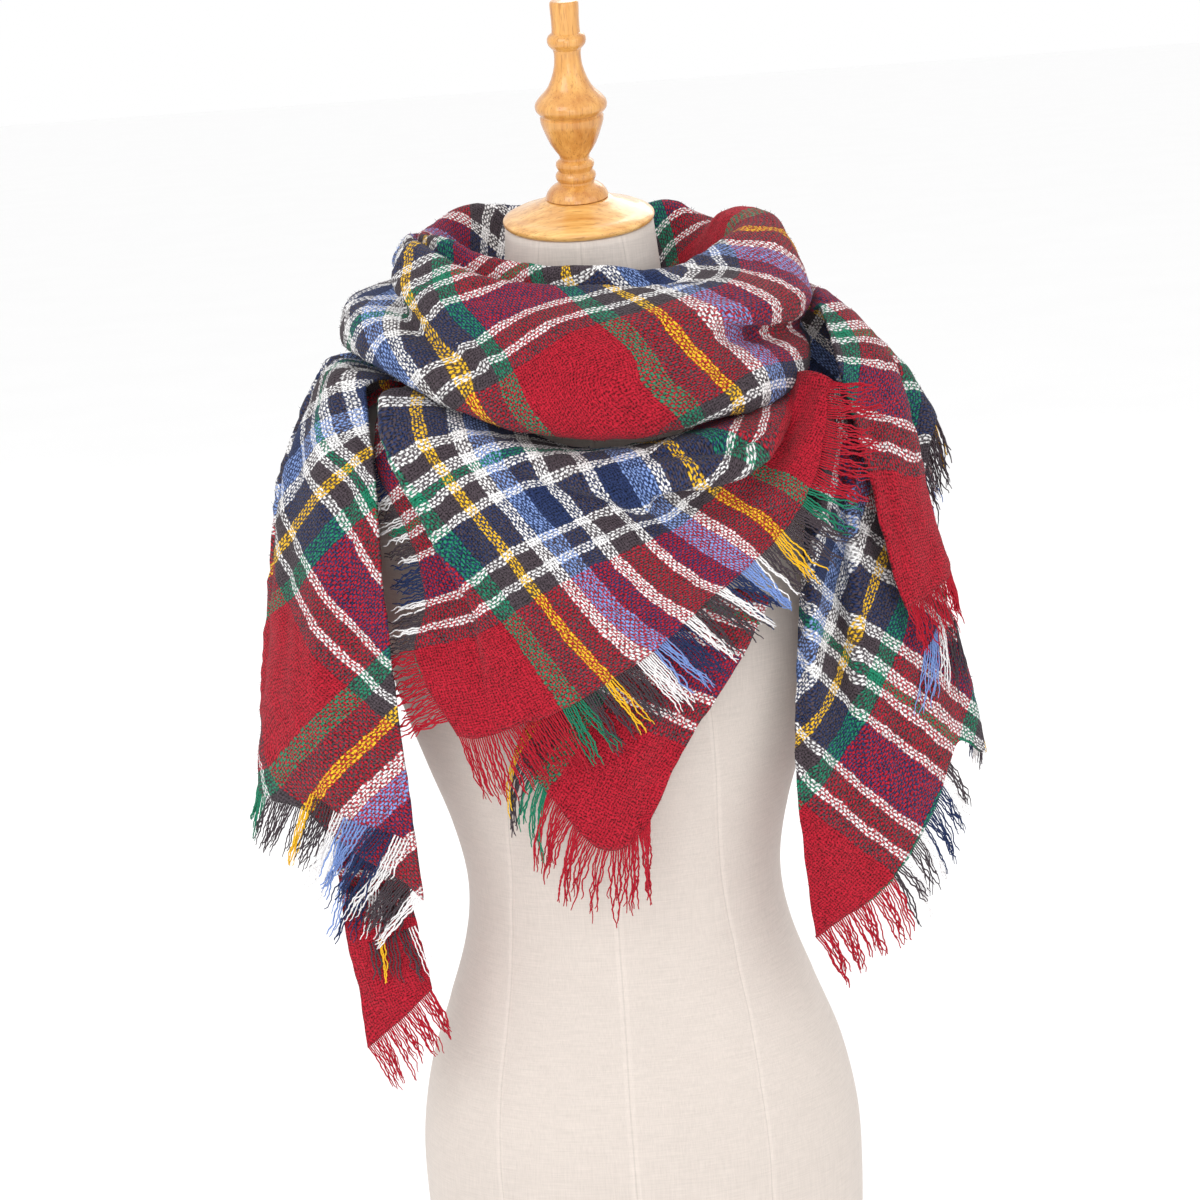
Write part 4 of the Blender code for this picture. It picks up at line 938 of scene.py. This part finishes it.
def form_grid(depth):
    """The form's points in mm, closed round, with the seams drawn in, and their seam distances."""
    heights = [ring.height for ring in FORM_RINGS]
    rows = max(2, round(heights[-1] / FORM_ROW))
    levels = [heights[-1] * i / rows for i in range(rows + 1)]
    values = smooth_grid(np.array(FORM_RINGS, dtype=float)[:, None, :].repeat(2, 1),
                         np.interp(levels, heights, range(len(heights))), [0.0])[:, 0]
    shares = [0.5 - 0.5 * math.cos(math.pi * k / PANEL_COLUMNS) for k in range(PANEL_COLUMNS)]
    lean = Matrix.Rotation(NECK_TILT, 3, "X")
    lines, seam_places = [], []
    for index in range(rows + NECK_STEPS + 1):
        level = min(index, rows)
        _, half, front, back, shift = values[level]
        height = levels[level]
        seams = seam_turns(height)
        line = []
        for start, end in zip(seams, seams[1:]):
            for share in shares:
                turn = start + (end - start) * share
                deep = back if math.sin(turn) > 0 else front
                x, y = half * squared(math.cos(turn)), deep * squared(math.sin(turn))
                away = min(turn - start, end - turn) * half
                ridge, ridge_place = SEAM_RIDGE
                sink = depth * math.exp(-(away / SEAM_WIDTH)**2)
                sink -= ridge * depth * math.exp(-((away - ridge_place) / SEAM_WIDTH)**2)
                out = Vector((x / half, y / deep, 0)).normalized()
                point = Vector((x, y + shift, height)) - out * sink
                if index > rows:
                    rim = Vector(CAP_CENTRE) + lean @ Vector((NECK_TOP_RADIUS * math.cos(turn),
                                                              NECK_TOP_RADIUS * math.sin(turn), 0))
                    point = point.lerp(rim, (index - rows) / NECK_STEPS)
                line.append(point)
                seam_places.append((away, height))
        lines.append(line)
    return lines, seam_places


# Turned wood: radius and height above the neck's top, from the top of each piece down.
CAP_PROFILE = (
    (24.0, 18.4), (27.0, 17.0), (30.5, 15.0), (32.5, 14.4), (38.0, 12.2), (44.0, 9.8), (48.0, 8.4),
    (50.0, 8.2), (53.0, 6.8), (55.2, 5.8), (56.4, 4.6), (56.7, 3.4), (56.3, 2.0), (55.2, 0.9),
    (53.0, 0.4), (50.0, 0.3),
)
FINIAL_PROFILE = (
    (8.0, 163.6), (9.4, 163.3), (10.3, 162.4), (10.6, 161.0), (10.5, 157.0), (10.2, 150.0),
    (10.2, 144.0), (10.4, 140.6), (11.6, 139.8), (13.2, 138.6), (14.1, 136.6), (14.2, 134.4),
    (13.6, 132.2), (12.0, 130.2), (10.4, 128.6), (9.8, 126.0), (9.8, 122.0), (10.3, 117.0),
    (11.6, 112.0), (13.4, 107.0), (15.8, 102.0), (18.4, 98.6), (21.6, 95.6), (24.2, 92.8),
    (26.0, 90.4), (26.6, 88.0), (26.2, 85.4), (24.6, 83.2), (22.8, 81.8), (22.4, 80.6),
    (23.4, 79.4), (23.2, 76.0), (21.8, 71.6), (19.6, 65.6), (17.2, 60.0), (14.4, 55.4),
    (11.8, 51.8), (10.9, 49.6), (11.0, 48.0), (12.4, 47.0), (13.9, 45.6), (14.3, 43.8),
    (13.9, 42.0), (12.9, 40.6), (12.7, 39.2), (13.6, 38.2), (14.7, 36.8), (15.0, 35.0),
    (14.6, 33.2), (13.6, 31.8), (13.7, 30.4), (15.0, 29.4), (17.6, 28.0), (20.0, 26.0),
    (22.0, 23.4), (23.2, 20.8), (23.4, 19.4), (22.4, 18.8),
)
TURNED_SIDES = 128
SHARP_EDGE = math.radians(30)


def turned_piece(name, profile):
    """A turned piece, drawn down from its top face ring by ring, as on a lathe."""
    bpy.ops.object.select_all(action="DESELECT")
    radius, height = profile[0]
    bpy.ops.mesh.primitive_circle_add(vertices=TURNED_SIDES, radius=radius * MM, fill_type="NGON",
                                      location=(0, 0, height * MM))
    piece = bpy.context.active_object
    piece.name = piece.data.name = name
    bpy.ops.object.transform_apply(location=True, rotation=False, scale=False)
    bpy.ops.object.mode_set(mode="EDIT")
    bpy.ops.mesh.select_mode(type="FACE")
    bpy.ops.mesh.select_all(action="SELECT")
    for (before, above), (radius, height) in zip(profile, profile[1:]):
        bpy.ops.mesh.extrude_region_move(
            TRANSFORM_OT_translate={"value": (0, 0, (height - above) * MM)})
        bpy.ops.transform.resize(value=(radius / before, radius / before, 1),
                                 center_override=(0, 0, height * MM))
    bpy.ops.mesh.select_all(action="SELECT")
    bpy.ops.mesh.normals_make_consistent(inside=False)
    bpy.ops.object.mode_set(mode="OBJECT")
    bpy.ops.object.shade_smooth_by_angle(angle=SHARP_EDGE)
    piece.rotation_euler = (NECK_TILT, 0, 0)
    piece.location = Vector(CAP_CENTRE) * MM
    bpy.ops.object.transform_apply(location=True, rotation=True, scale=False)
    return piece


# ---------------------------------------------------------------- materials

DASH_WIDTH = 0.27           # half a dash's width, as a part of the thread pitch
DASH_LENGTH = 0.62          # half its length
CLOTH_MAP = "FlatCloth"     # a point's place on the flat cloth, in mm

# The tartan's threads, each colour from a distance in mm on.  A sett mirrors at both of its ends.
WARP_SETT, WEFT_SETT = named("half colours", (
    (174, ((0, "red"), (43, "green"), (59, "charcoal"), (78, "yellow"), (88, "charcoal"),
           (103, "white"), (114, "light_blue"), (133, "navy"), (152, "white"), (162, "charcoal"))),
    (151, ((0, "red"), (45, "charcoal"), (57, "white"), (65, "charcoal"), (77, "white"),
           (85, "navy"), (119, "white"), (127, "charcoal"), (139, "white"), (147, "green"))),
))


def add_node(tree, kind, inputs=(), output=0, **settings):
    """Add a node of this kind with its settings and its inputs linked or set, and give its output.
    The inputs are a list in the sockets' order, or a table with their names or numbers."""
    node = tree.nodes.new(f"ShaderNode{kind}")
    for key, value in settings.items():
        setattr(node, key, value)
    for socket, value in inputs.items() if isinstance(inputs, dict) else enumerate(inputs):
        if isinstance(value, bpy.types.NodeSocket):
            tree.links.new(value, node.inputs[socket])
        else:
            node.inputs[socket].default_value = value
    return node.outputs[output]


def new_material(name, roughness, **settings):
    """A named material, a way to add nodes to it and its shader, with what is the same all over."""
    made = bpy.data.materials.new(name)
    made.use_nodes = True
    shader = made.node_tree.nodes["Principled BSDF"]
    shader.inputs["Roughness"].default_value = roughness
    for socket, value in settings.items():
        shader.inputs[socket.replace("_", " ")].default_value = value
    return made, partial(add_node, made.node_tree), shader


def show(add, shader, colour, shade=None, **relief):
    """Let the shader show a colour, made paler or darker by a shade, over a relief."""
    if shade is not None:
        grey = add("CombineXYZ", [shade, shade, shade])
        colour = add("Mix", {0: 1.0, 6: colour, 7: grey}, 2, data_type="RGBA",
                     blend_type="MULTIPLY")
    links = shader.id_data.links
    links.new(colour, shader.inputs["Base Color"])
    if relief:
        links.new(add("Bump", relief), shader.inputs["Normal"])


def sett_colour(add, sett, thread, settings):
    """The colour of the thread with this number."""
    place = add("Math", [add("Math", [thread, 0.5], operation="ADD"), settings.pitch],
                operation="MULTIPLY")
    folded = add("Math", [place, sett.half], operation="PINGPONG")
    colour = add("ValToRGB", [add("Math", [folded, sett.half], operation="DIVIDE")])
    ramp = colour.node.color_ramp
    ramp.interpolation = "CONSTANT"
    ramp.elements.remove(ramp.elements[1])
    for index, (start, name) in enumerate(sett.colours):
        stop = ramp.elements.new(start / sett.half) if index else ramp.elements[0]
        stop.position = start / sett.half
        stop.color = (*getattr(settings, name), 1.0)
    return colour


def tartan_cloth(settings):
    """Brushed acrylic blanket cloth, plain woven from soft dyed yarns: stripes that mottle where
    they cross, a fuzzy nap and a dull, soft sheen.  The threads lie 2.3 mm apart at first, coarser
    than real ones, so that the weave shows."""
    made, add, shader = new_material("brushed acrylic tartan, plain woven", 0.95,
                                     Sheen_Weight=settings.sheen, Sheen_Roughness=0.55,
                                     Specular_IOR_Level=0.15)
    flat = add("UVMap", uv_map=CLOTH_MAP)

    # The yarns wander by up to 1.6 mm over about 8 mm, and crimp by up to 1.2 mm over 2.4 mm.
    spot = flat
    for scale, detail, drift in ((0.13, 3.0, 3.2), (0.42, 2.0, 2.5)):
        wander = add("TexNoise", {"Vector": flat, "Scale": scale, "Detail": detail}, "Color")
        wander = add("VectorMath", [wander, (0.5, 0.5, 0.5)], operation="SUBTRACT")
        spot = add("VectorMath", [wander, (drift, drift, 0.0), spot], operation="MULTIPLY_ADD")
    threads, colours, offs = [], [], []
    for axis, sett in (("X", WARP_SETT), ("Y", WEFT_SETT)):
        place = add("Math", [add("SeparateXYZ", [spot], axis), settings.pitch], operation="DIVIDE")
        threads.append(add("Math", [place], operation="FLOOR"))
        colours.append(sett_colour(add, sett, threads[-1], settings))
        part = add("Math", [place], operation="FRACT")
        offs.append(add("Math", [add("Math", [part, 0.5], operation="SUBTRACT")],
                        operation="ABSOLUTE"))

    # A yarn shows as a long dash where it lies over its neighbour, and the dashes change places.
    both = add("Math", threads, operation="ADD")
    odd = add("Math", [add("Math", [both, 2.0], operation="MODULO")], operation="ABSOLUTE")
    even = add("Math", [1.0, odd], operation="SUBTRACT")
    fields = []
    for (beside, ahead), away in ((offs, odd), (offs[::-1], even)):
        flip = add("Math", [ahead, -2.0, 1.0], operation="MULTIPLY_ADD")
        reach = add("Math", [away, flip, ahead], operation="MULTIPLY_ADD")
        wide, long = (add("Math", [add("Math", [off, size], operation="DIVIDE"), 2.0],
                          operation="POWER")
                      for off, size in ((beside, DASH_WIDTH), (reach, DASH_LENGTH)))
        fields.append(add("Math", [1.0, add("Math", [wide, long], operation="ADD")],
                          operation="SUBTRACT"))
    nap = add("TexNoise", {"Vector": flat, "Scale": 0.85, "Detail": 3.0, "Roughness": 0.6})
    fuzz = add("Math", [nap, 14.0, -7.0], operation="MULTIPLY_ADD")
    chance = add("TexWhiteNoise", {"Vector": add("CombineXYZ", threads)}, "Value",
                 noise_dimensions="2D")
    luck = add("Math", [chance, 2.4, -1.2], operation="MULTIPLY_ADD")
    lead = add("Math", [add("Math", fields, operation="SUBTRACT"),
                        add("Math", [fuzz, luck], operation="ADD")], operation="ADD")
    on_top = add("MapRange", [lead, -0.8, 0.8], interpolation_type="SMOOTHSTEP")
    warp_colour, weft_colour = colours
    woven, mingled = (add("Mix", {0: share, 6: weft_colour, 7: warp_colour}, 2, data_type="RGBA")
                      for share in (on_top, 0.5))
    height = add("Math", fields, operation="MAXIMUM")
    in_gap = add("MapRange", [height, 0.2, -0.9, 0.0, 0.3])
    share = add("Math", [in_gap, settings.fuzz], operation="ADD")
    colour = add("Mix", {0: share, 6: woven, 7: mingled}, 2, data_type="RGBA")

    # Yarns differ a little in tone at random.  The gaps between the dashes and the dips of the grit
    # get painted shade, down to a fifth of the colour, and the dash tops a painted highlight, up to 8
    # % over it.
    patches = add("TexNoise", {"Vector": flat, "Scale": 0.035, "Detail": 4.0})
    grit = add("TexNoise", {"Vector": flat, "Scale": 0.7, "Detail": 3.0})
    height = add("Math", [height, add("Math", [grit, 9.0, -4.5], operation="MULTIPLY_ADD")],
                 operation="ADD")
    # Painted shade in the gaps and the grit's dips, and a painted highlight on the dash tops.
    shade = add("MapRange", [height, -1.8, 1.0, 0.20, 1.08])
    for tint in (patches, chance):
        tint = add("Math", [tint, 0.24, -0.12], operation="MULTIPLY_ADD")
        shade = add("Math", [shade, tint], operation="ADD")
    relief = add("Math", [height, 0.3, nap], operation="MULTIPLY_ADD")
    show(add, shader, colour, shade, Strength=0.5, Distance=0.001, Height=relief)
    return made


def fringe_yarn(settings, sett, name):
    """Loosely spun acrylic yarn of the cloth's own threads: dull, with a soft twist."""
    made, add, shader = new_material(name, 0.95, Sheen_Weight=settings.sheen, Sheen_Roughness=0.5,
                                     Specular_IOR_Level=0.15)
    flat = add("UVMap", uv_map=CLOTH_MAP)
    across, along = (add("SeparateXYZ", [flat], axis) for axis in "XY")
    thread = add("Math", [add("Math", [across, settings.pitch], operation="DIVIDE")],
                 operation="FLOOR")
    twist = add("Math", [along, 2 * math.pi / YARN_TWIST], operation="MULTIPLY")
    twist = add("Math", [twist], operation="SINE")
    fluff = add("TexNoise", {"Vector": add("TexCoord", output="Object"), "Scale": 700.0,
                             "Detail": 2.0})
    fluff = add("Math", [fluff, 0.5, -0.25], operation="MULTIPLY_ADD")
    # The twist's grooves get painted shade and its ridges a painted highlight, 12 % either way; the
    # fluff is a random tone.
    shade = add("Math", [add("Math", [twist, 0.12, 0.98], operation="MULTIPLY_ADD"), fluff],
                operation="ADD")
    show(add, shader, sett_colour(add, sett, thread, settings), shade, Strength=0.5,
         Distance=0.0005, Height=twist)
    return made


def linen_cover(settings):
    """Natural linen stretched over padding: a slubby plain weave with thicker yarns here and there.
    The yarns are drawn 1.1 mm apart, coarser than the real 0.6 mm, so that they show."""
    made, add, shader = new_material("natural linen, plain woven", 0.9, Sheen_Weight=0.12,
                                     Sheen_Roughness=0.5, Specular_IOR_Level=0.2)
    place = add("TexCoord", output="Object")
    level, upright = (
        add("TexNoise", {"Vector": add("Mapping", {"Vector": place, "Scale": scale}), "Scale": 1.0,
                         "Detail": 3.0}) for scale in ((60, 60, 1400), (1400, 1400, 60)))
    slubs = add("Math", [level, upright], operation="ADD")
    shade = add("Math", [slubs, 0.24, 0.72], operation="MULTIPLY_ADD")
    patch = add("TexNoise", {"Vector": place, "Scale": 9.0, "Detail": 3.0})
    shade = add("Math", [shade, add("Math", [patch, 0.10, -0.05], operation="MULTIPLY_ADD")],
                operation="ADD")

    # The turned-in cloth behind a seam shows as a paler band, with the seam as a thin line in it.
    apart = add("SeparateXYZ", [add("UVMap", uv_map=SEAM_MAP)])
    for near, far, tint in ((2.4, 4.0, 0.055), (0.2, 0.8, -0.12)):
        band = add("MapRange", [apart, near, far, tint, 0.0], interpolation_type="SMOOTHSTEP")
        shade = add("Math", [shade, band], operation="ADD")
    show(add, shader, (*settings.linen, 1.0), shade, Strength=0.25, Distance=0.0006, Height=slubs)
    return made


def varnished_wood(name, light, dark, pore, streak_scale, pore_scale):
    """Turned rubberwood under clear varnish: honey brown, with long fine streaks and a soft gloss.
    The scales are streaks and pores to a metre, along each axis."""
    made, add, shader = new_material(name, 0.35, Coat_Weight=0.6, Coat_Roughness=0.12, IOR=1.5)
    place = add("Mapping", {"Vector": add("TexCoord", output="Object"),
                            "Rotation": (-NECK_TILT, 0.0, 0.06)})
    streak = add("TexNoise", {"Vector": add("Mapping", {"Vector": place, "Scale": streak_scale}),
                              "Scale": 1.0, "Detail": 4.0, "Roughness": 0.6})
    pores = add("TexNoise", {"Vector": add("Mapping", {"Vector": place, "Scale": pore_scale}),
                             "Scale": 1.0, "Detail": 2.0})
    wood = add("ValToRGB", [streak])
    for stop, start, tone in zip(wood.node.color_ramp.elements, (0.32, 0.68), (dark, light)):
        stop.position = start
        stop.color = (*tone, 1.0)
    open_pore = add("MapRange", [pores, 0.56, 0.68, 0.0, 0.45])
    colour = add("Mix", {0: open_pore, 6: wood, 7: (*pore, 1.0)}, 2, data_type="RGBA")
    show(add, shader, colour, Strength=0.08, Distance=0.0004, Height=pores)
    return made


def painted_board(paint):
    """Board with matt white paint: nearly plain, with a faint cloudiness from the roller."""
    made, add, shader = new_material("matt painted board", 0.8)
    tone = add("TexNoise", {"Vector": add("TexCoord", output="Object"), "Scale": 3.0})
    darker = [c * 0.97 for c in paint]
    show(add, shader, add("Mix", {0: tone, 6: (*paint, 1.0), 7: (*darker, 1.0)}, 2,
                          data_type="RGBA"))
    return made


# ---------------------------------------------------------------- settings

def colour_setting(name, description, code):
    """A colour that the user can change, set at first to an sRGB hex colour."""
    return bpy.props.FloatVectorProperty(name=name, description=description, subtype="COLOR",
                                         size=3, min=0.0, max=1.0, default=linear(code))


def number_setting(name, description, default, low, high, **more):
    """A number that the user can change."""
    return bpy.props.FloatProperty(name=name, description=description, default=default, min=low,
                                   max=high, **more)


class ScarfSettings(bpy.types.PropertyGroup):
    """Sizes and looks of the scarf."""
    thickness: number_setting("Thickness", "Thickness of the cloth", 0.0022, 0.001, 0.004,
                              unit="LENGTH")
    pitch: number_setting("Thread pitch", "Space from thread to thread, mm", 2.3, 1.5, 4.0)
    yarn: number_setting("Yarn", "Thickness of a fringe yarn, mm", 1.3, 0.5, 2.5)
    wave_height: number_setting("Unevenness", "Soft waves in the cloth, mm", 1.3, 0.0, 3.0)
    fuzz: number_setting("Fuzz", "How far the nap mingles the colours", 0.06, 0.0, 1.0,
                         subtype="FACTOR")
    nap: number_setting("Nap", "Stray fibres on a square centimetre", 2.6, 0.0, 6.0)
    sheen: number_setting("Sheen", "Soft light on the nap", 0.06, 0.0, 1.0, subtype="FACTOR")
    red: colour_setting("Red", "Yarn of the large blocks", "#B01B2E")
    charcoal: colour_setting("Charcoal", "Dark yarn between the stripes", "#4A4046")
    green: colour_setting("Green", "Yarn of the stripe beside the red", "#1F7F60")
    navy: colour_setting("Navy", "Yarn of the wide dark stripe", "#26345C")
    light_blue: colour_setting("Light blue", "Yarn beside the navy", "#7F9AD4")
    white: colour_setting("White", "Yarn of the thin pale stripes", "#F6F4F4")
    yellow: colour_setting("Yellow", "Yarn of the thin bright stripe", "#F2BE2A")
    seed: bpy.props.IntProperty(name="Seed", default=7, min=1,
                                description="Start of the cloth's and the fringe's unevenness")


class FormSettings(bpy.types.PropertyGroup):
    """Sizes and colours of the dress form."""
    seam_depth: number_setting("Seam depth", "Depth of a seam, mm", 0.6, 0.0, 3.0)
    linen: colour_setting("Linen", "Cover of the body", "#D0C6BE")
    # The cap and the finial are the same wood.  The cap's colours are painted lighter, for the light
    # on its upturned faces, and the finial's are painted darker, as painted shade.
    lit_cap_pale: colour_setting("Cap", "Pale wood between the cap's streaks", "#F4C478")
    lit_cap_streaks: colour_setting("Cap streaks", "Darker streaks in the cap", "#D09044")
    shaded_finial_pale: colour_setting("Finial", "Pale wood between the finial's streaks", "#E4AA5A")
    shaded_finial_streaks: colour_setting("Finial streaks", "Darker streaks in the finial", "#BE7A30")
    wood_pore: colour_setting("Pores", "Pores of the wood", "#8A4E1A")


class StageSettings(bpy.types.PropertyGroup):
    """Floor and light."""
    floor: colour_setting("Floor", "Paint of the floor", "#FEFEFE")
    sky: number_setting("Sky", "Strength of the light from all round", 1.0, 0.0, 3.0)
    key: number_setting("Lights", "Power that the lights share out", 34.0, 0.0, 500.0,
                        unit="POWER")


# ---------------------------------------------------------------- operators

class SCARF_OT_stretches(bpy.types.Operator):
    """Make each stretch of the scarf as a thin sheet of tartan, and the fringe on its edges"""
    bl_idname = "scarf.stretches"
    bl_label = "Scarf and fringe"
    bl_options = {"REGISTER", "UNDO"}

    def execute(self, context):
        settings = context.scene.scarf_cloth
        noise.seed_set(settings.seed)       # without it the noise would follow the clock
        cloth = tartan_cloth(settings)
        yarns = {"warp": fringe_yarn(settings, WARP_SETT, "spun acrylic yarn, warp"),
                 "weft": fringe_yarn(settings, WEFT_SETT, "spun acrylic yarn, weft")}
        for seed, stretch in enumerate(STRETCHES):
            grid, flat = stretch_grids(stretch, settings, seed)
            piece = cloth_piece(f"{stretch.name}_cloth", grid, flat, settings.thickness,
                                stretch.name == "cowl")
            finish_piece(piece, cloth, "tartan_cloth", *stretch.nodes)
            hairs = nap_piece(f"nap_of_{stretch.name}", grid, flat, settings)
            finish_piece(hairs, cloth, "tartan_cloth")
            for spec in FRINGES:
                if spec.cloth != stretch.name:
                    continue
                fringe = fringe_piece(spec, grid, flat, settings)
                finish_piece(fringe, yarns[spec.threads], "fringe_yarn",
                             *([spec.node] if spec.node else []))
        return {"FINISHED"}


class SCARF_OT_form(bpy.types.Operator):
    """Make the linen body of the dress form with its panel seams"""
    bl_idname = "scarf.form"
    bl_label = "Linen body"
    bl_options = {"REGISTER", "UNDO"}

    def execute(self, context):
        settings = context.scene.scarf_form
        lines, seam_places = form_grid(settings.seam_depth)
        count = len(lines[0])
        faces = [tuple(reversed(range(count)))]
        for a in range(0, (len(lines) - 1) * count, count):
            for i in range(count):
                n = (i + 1) % count
                faces.append((a + i, a + n, a + count + n, a + count + i))
        top = (len(lines) - 1) * count
        faces.append(tuple(range(top, top + count)))
        body = mesh_piece("linen_body", [point * MM for line in lines for point in line], faces,
                          SEAM_MAP, [seam_places[corner] for face in faces for corner in face])
        finish_piece(body, linen_cover(settings), "linen", "form_body")
        return {"FINISHED"}


class SCARF_OT_wood(bpy.types.Operator):
    """Turn the cap on the neck and its finial"""
    bl_idname = "scarf.wood"
    bl_label = "Cap and finial"
    bl_options = {"REGISTER", "UNDO"}

    def execute(self, context):
        settings = context.scene.scarf_form
        # The cap is turned from a board, so its grain lies level, and the finial's stands upright:
        # streaks about 100 mm long and 5 to 8 mm wide, and pores 14 mm long and 1 mm wide, which is
        # coarser than real pores, so that they show.
        # The cap's colours are painted lighter, for the light on its upturned faces, and the finial's
        # darker, as painted shade.
        board = varnished_wood("rubberwood board, turned and varnished", settings.lit_cap_pale,
                               settings.lit_cap_streaks, settings.wood_pore,
                               (10.0, 150.0, 200.0), (70.0, 900.0, 900.0))
        blank = varnished_wood("rubberwood blank, turned and varnished", settings.shaded_finial_pale,
                               settings.shaded_finial_streaks, settings.wood_pore,
                               (130.0, 130.0, 9.0), (900.0, 900.0, 70.0))
        for name, profile, wood, node in (("turned_cap", CAP_PROFILE, board, "form_cap"),
                                          ("turned_finial", FINIAL_PROFILE, blank, "form_finial")):
            finish_piece(turned_piece(name, profile), wood, "varnished_wood", node)
        return {"FINISHED"}


FLOOR_SIZE = 60.0           # m, so that the floor's edge is out of sight
LIGHTS = named("name share size place", (
    ("key light", 0.8, 1.6, (-1.3, -2.2, 2.4)),
    ("fill light", 0.3, 1.8, (2.2, -1.8, 1.6)),
    ("front light", 0.22, 1.0, (0.0, -2.5, 1.0)),
    ("back light", 0.5, 1.4, (0.6, 2.2, 2.4)),
))
CAMERA_DISTANCE = 1.90
CAMERA_PITCH = math.radians(14)
CAMERA_ROLL = math.radians(4)
CAMERA_LENS = 73.08         # mm
CAMERA_SENSOR = 36.0        # mm
CAMERA_SHIFT = (-0.005, 0.006)
CAMERA_REACH = 100.0        # m
TARGET = Vector((0, 0, 0.6))


class SCARF_OT_stage(bpy.types.Operator):
    """Make the pale floor, the soft light and the camera"""
    bl_idname = "scarf.stage"
    bl_label = "Stage"
    bl_options = {"REGISTER", "UNDO"}

    def execute(self, context):
        settings = context.scene.scarf_stage
        bpy.ops.object.select_all(action="DESELECT")
        bpy.ops.mesh.primitive_plane_add(size=FLOOR_SIZE, location=(0, 0, 0))
        floor = context.active_object
        floor.name = "floor"
        floor.data.materials.append(painted_board(settings.floor))

        world = bpy.data.worlds.new("studio")
        world.use_nodes = True
        sky = world.node_tree.nodes["Background"].inputs
        sky["Color"].default_value = (1.0, 1.0, 1.0, 1.0)
        sky["Strength"].default_value = settings.sky
        context.scene.world = world
        context.scene.view_settings.view_transform = "Standard"
        for lamp in LIGHTS:
            bpy.ops.object.light_add(type="AREA", location=lamp.place)
            light = context.active_object
            light.name = lamp.name
            light.data.energy = settings.key * lamp.share
            light.data.size = lamp.size
            aim = TARGET - Vector(lamp.place)
            light.rotation_euler = aim.to_track_quat("-Z", "Y").to_euler()

        cos_p, sin_p = math.cos(CAMERA_PITCH), math.sin(CAMERA_PITCH)
        ahead, up, right = Vector((0, cos_p, -sin_p)), Vector((0, sin_p, cos_p)), Vector((1, 0, 0))
        cos_r, sin_r = math.cos(CAMERA_ROLL), math.sin(CAMERA_ROLL)
        bpy.ops.object.camera_add()
        camera = context.active_object
        turn = Matrix((right * cos_r - up * sin_r, right * sin_r + up * cos_r, -ahead))
        camera.matrix_world = (Matrix.Translation(TARGET - ahead * CAMERA_DISTANCE)
                               @ turn.transposed().to_4x4())
        camera.data.lens = CAMERA_LENS
        camera.data.sensor_width = CAMERA_SENSOR
        camera.data.shift_x, camera.data.shift_y = CAMERA_SHIFT
        camera.data.clip_end = CAMERA_REACH
        context.scene.camera = camera
        return {"FINISHED"}


class SCARF_PT_panel(bpy.types.Panel):
    """The scarf's pieces and their settings"""
    bl_label = "Scarf"
    bl_idname = "SCARF_PT_panel"
    bl_space_type = "VIEW_3D"
    bl_region_type = "UI"
    bl_category = "Scarf"

    def draw(self, context):
        for operators, settings in PANEL_ROWS:
            group = getattr(context.scene, settings)
            box = self.layout.box()
            for operator in operators:
                box.operator(operator.bl_idname)
            for name in group.bl_rna.properties.keys():
                if name not in ("rna_type", "name"):
                    box.prop(group, name)


PANEL_ROWS = (
    ((SCARF_OT_form, SCARF_OT_wood), "scarf_form"),
    ((SCARF_OT_stretches,), "scarf_cloth"),
    ((SCARF_OT_stage,), "scarf_stage"),
)
GROUPS = {"scarf_cloth": ScarfSettings, "scarf_form": FormSettings, "scarf_stage": StageSettings}
CLASSES = (*GROUPS.values(), SCARF_OT_form, SCARF_OT_wood, SCARF_OT_stretches, SCARF_OT_stage,
           SCARF_PT_panel)


def register():
    """Make the operators, the panel and their settings known to Blender."""
    for item in CLASSES:
        bpy.utils.register_class(item)
    for name, group in GROUPS.items():
        setattr(bpy.types.Scene, name, bpy.props.PointerProperty(type=group))


def unregister():
    """Take them out again."""
    for name in GROUPS:
        delattr(bpy.types.Scene, name)
    for item in reversed(CLASSES):
        bpy.utils.unregister_class(item)


def main():
    """Build every piece and the stage."""
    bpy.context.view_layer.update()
    register()
    bpy.ops.scarf.form()
    bpy.ops.scarf.wood()
    bpy.ops.scarf.stretches()
    bpy.ops.scarf.stage()
    bpy.context.view_layer.update()


if __name__ == "__main__":
    main()
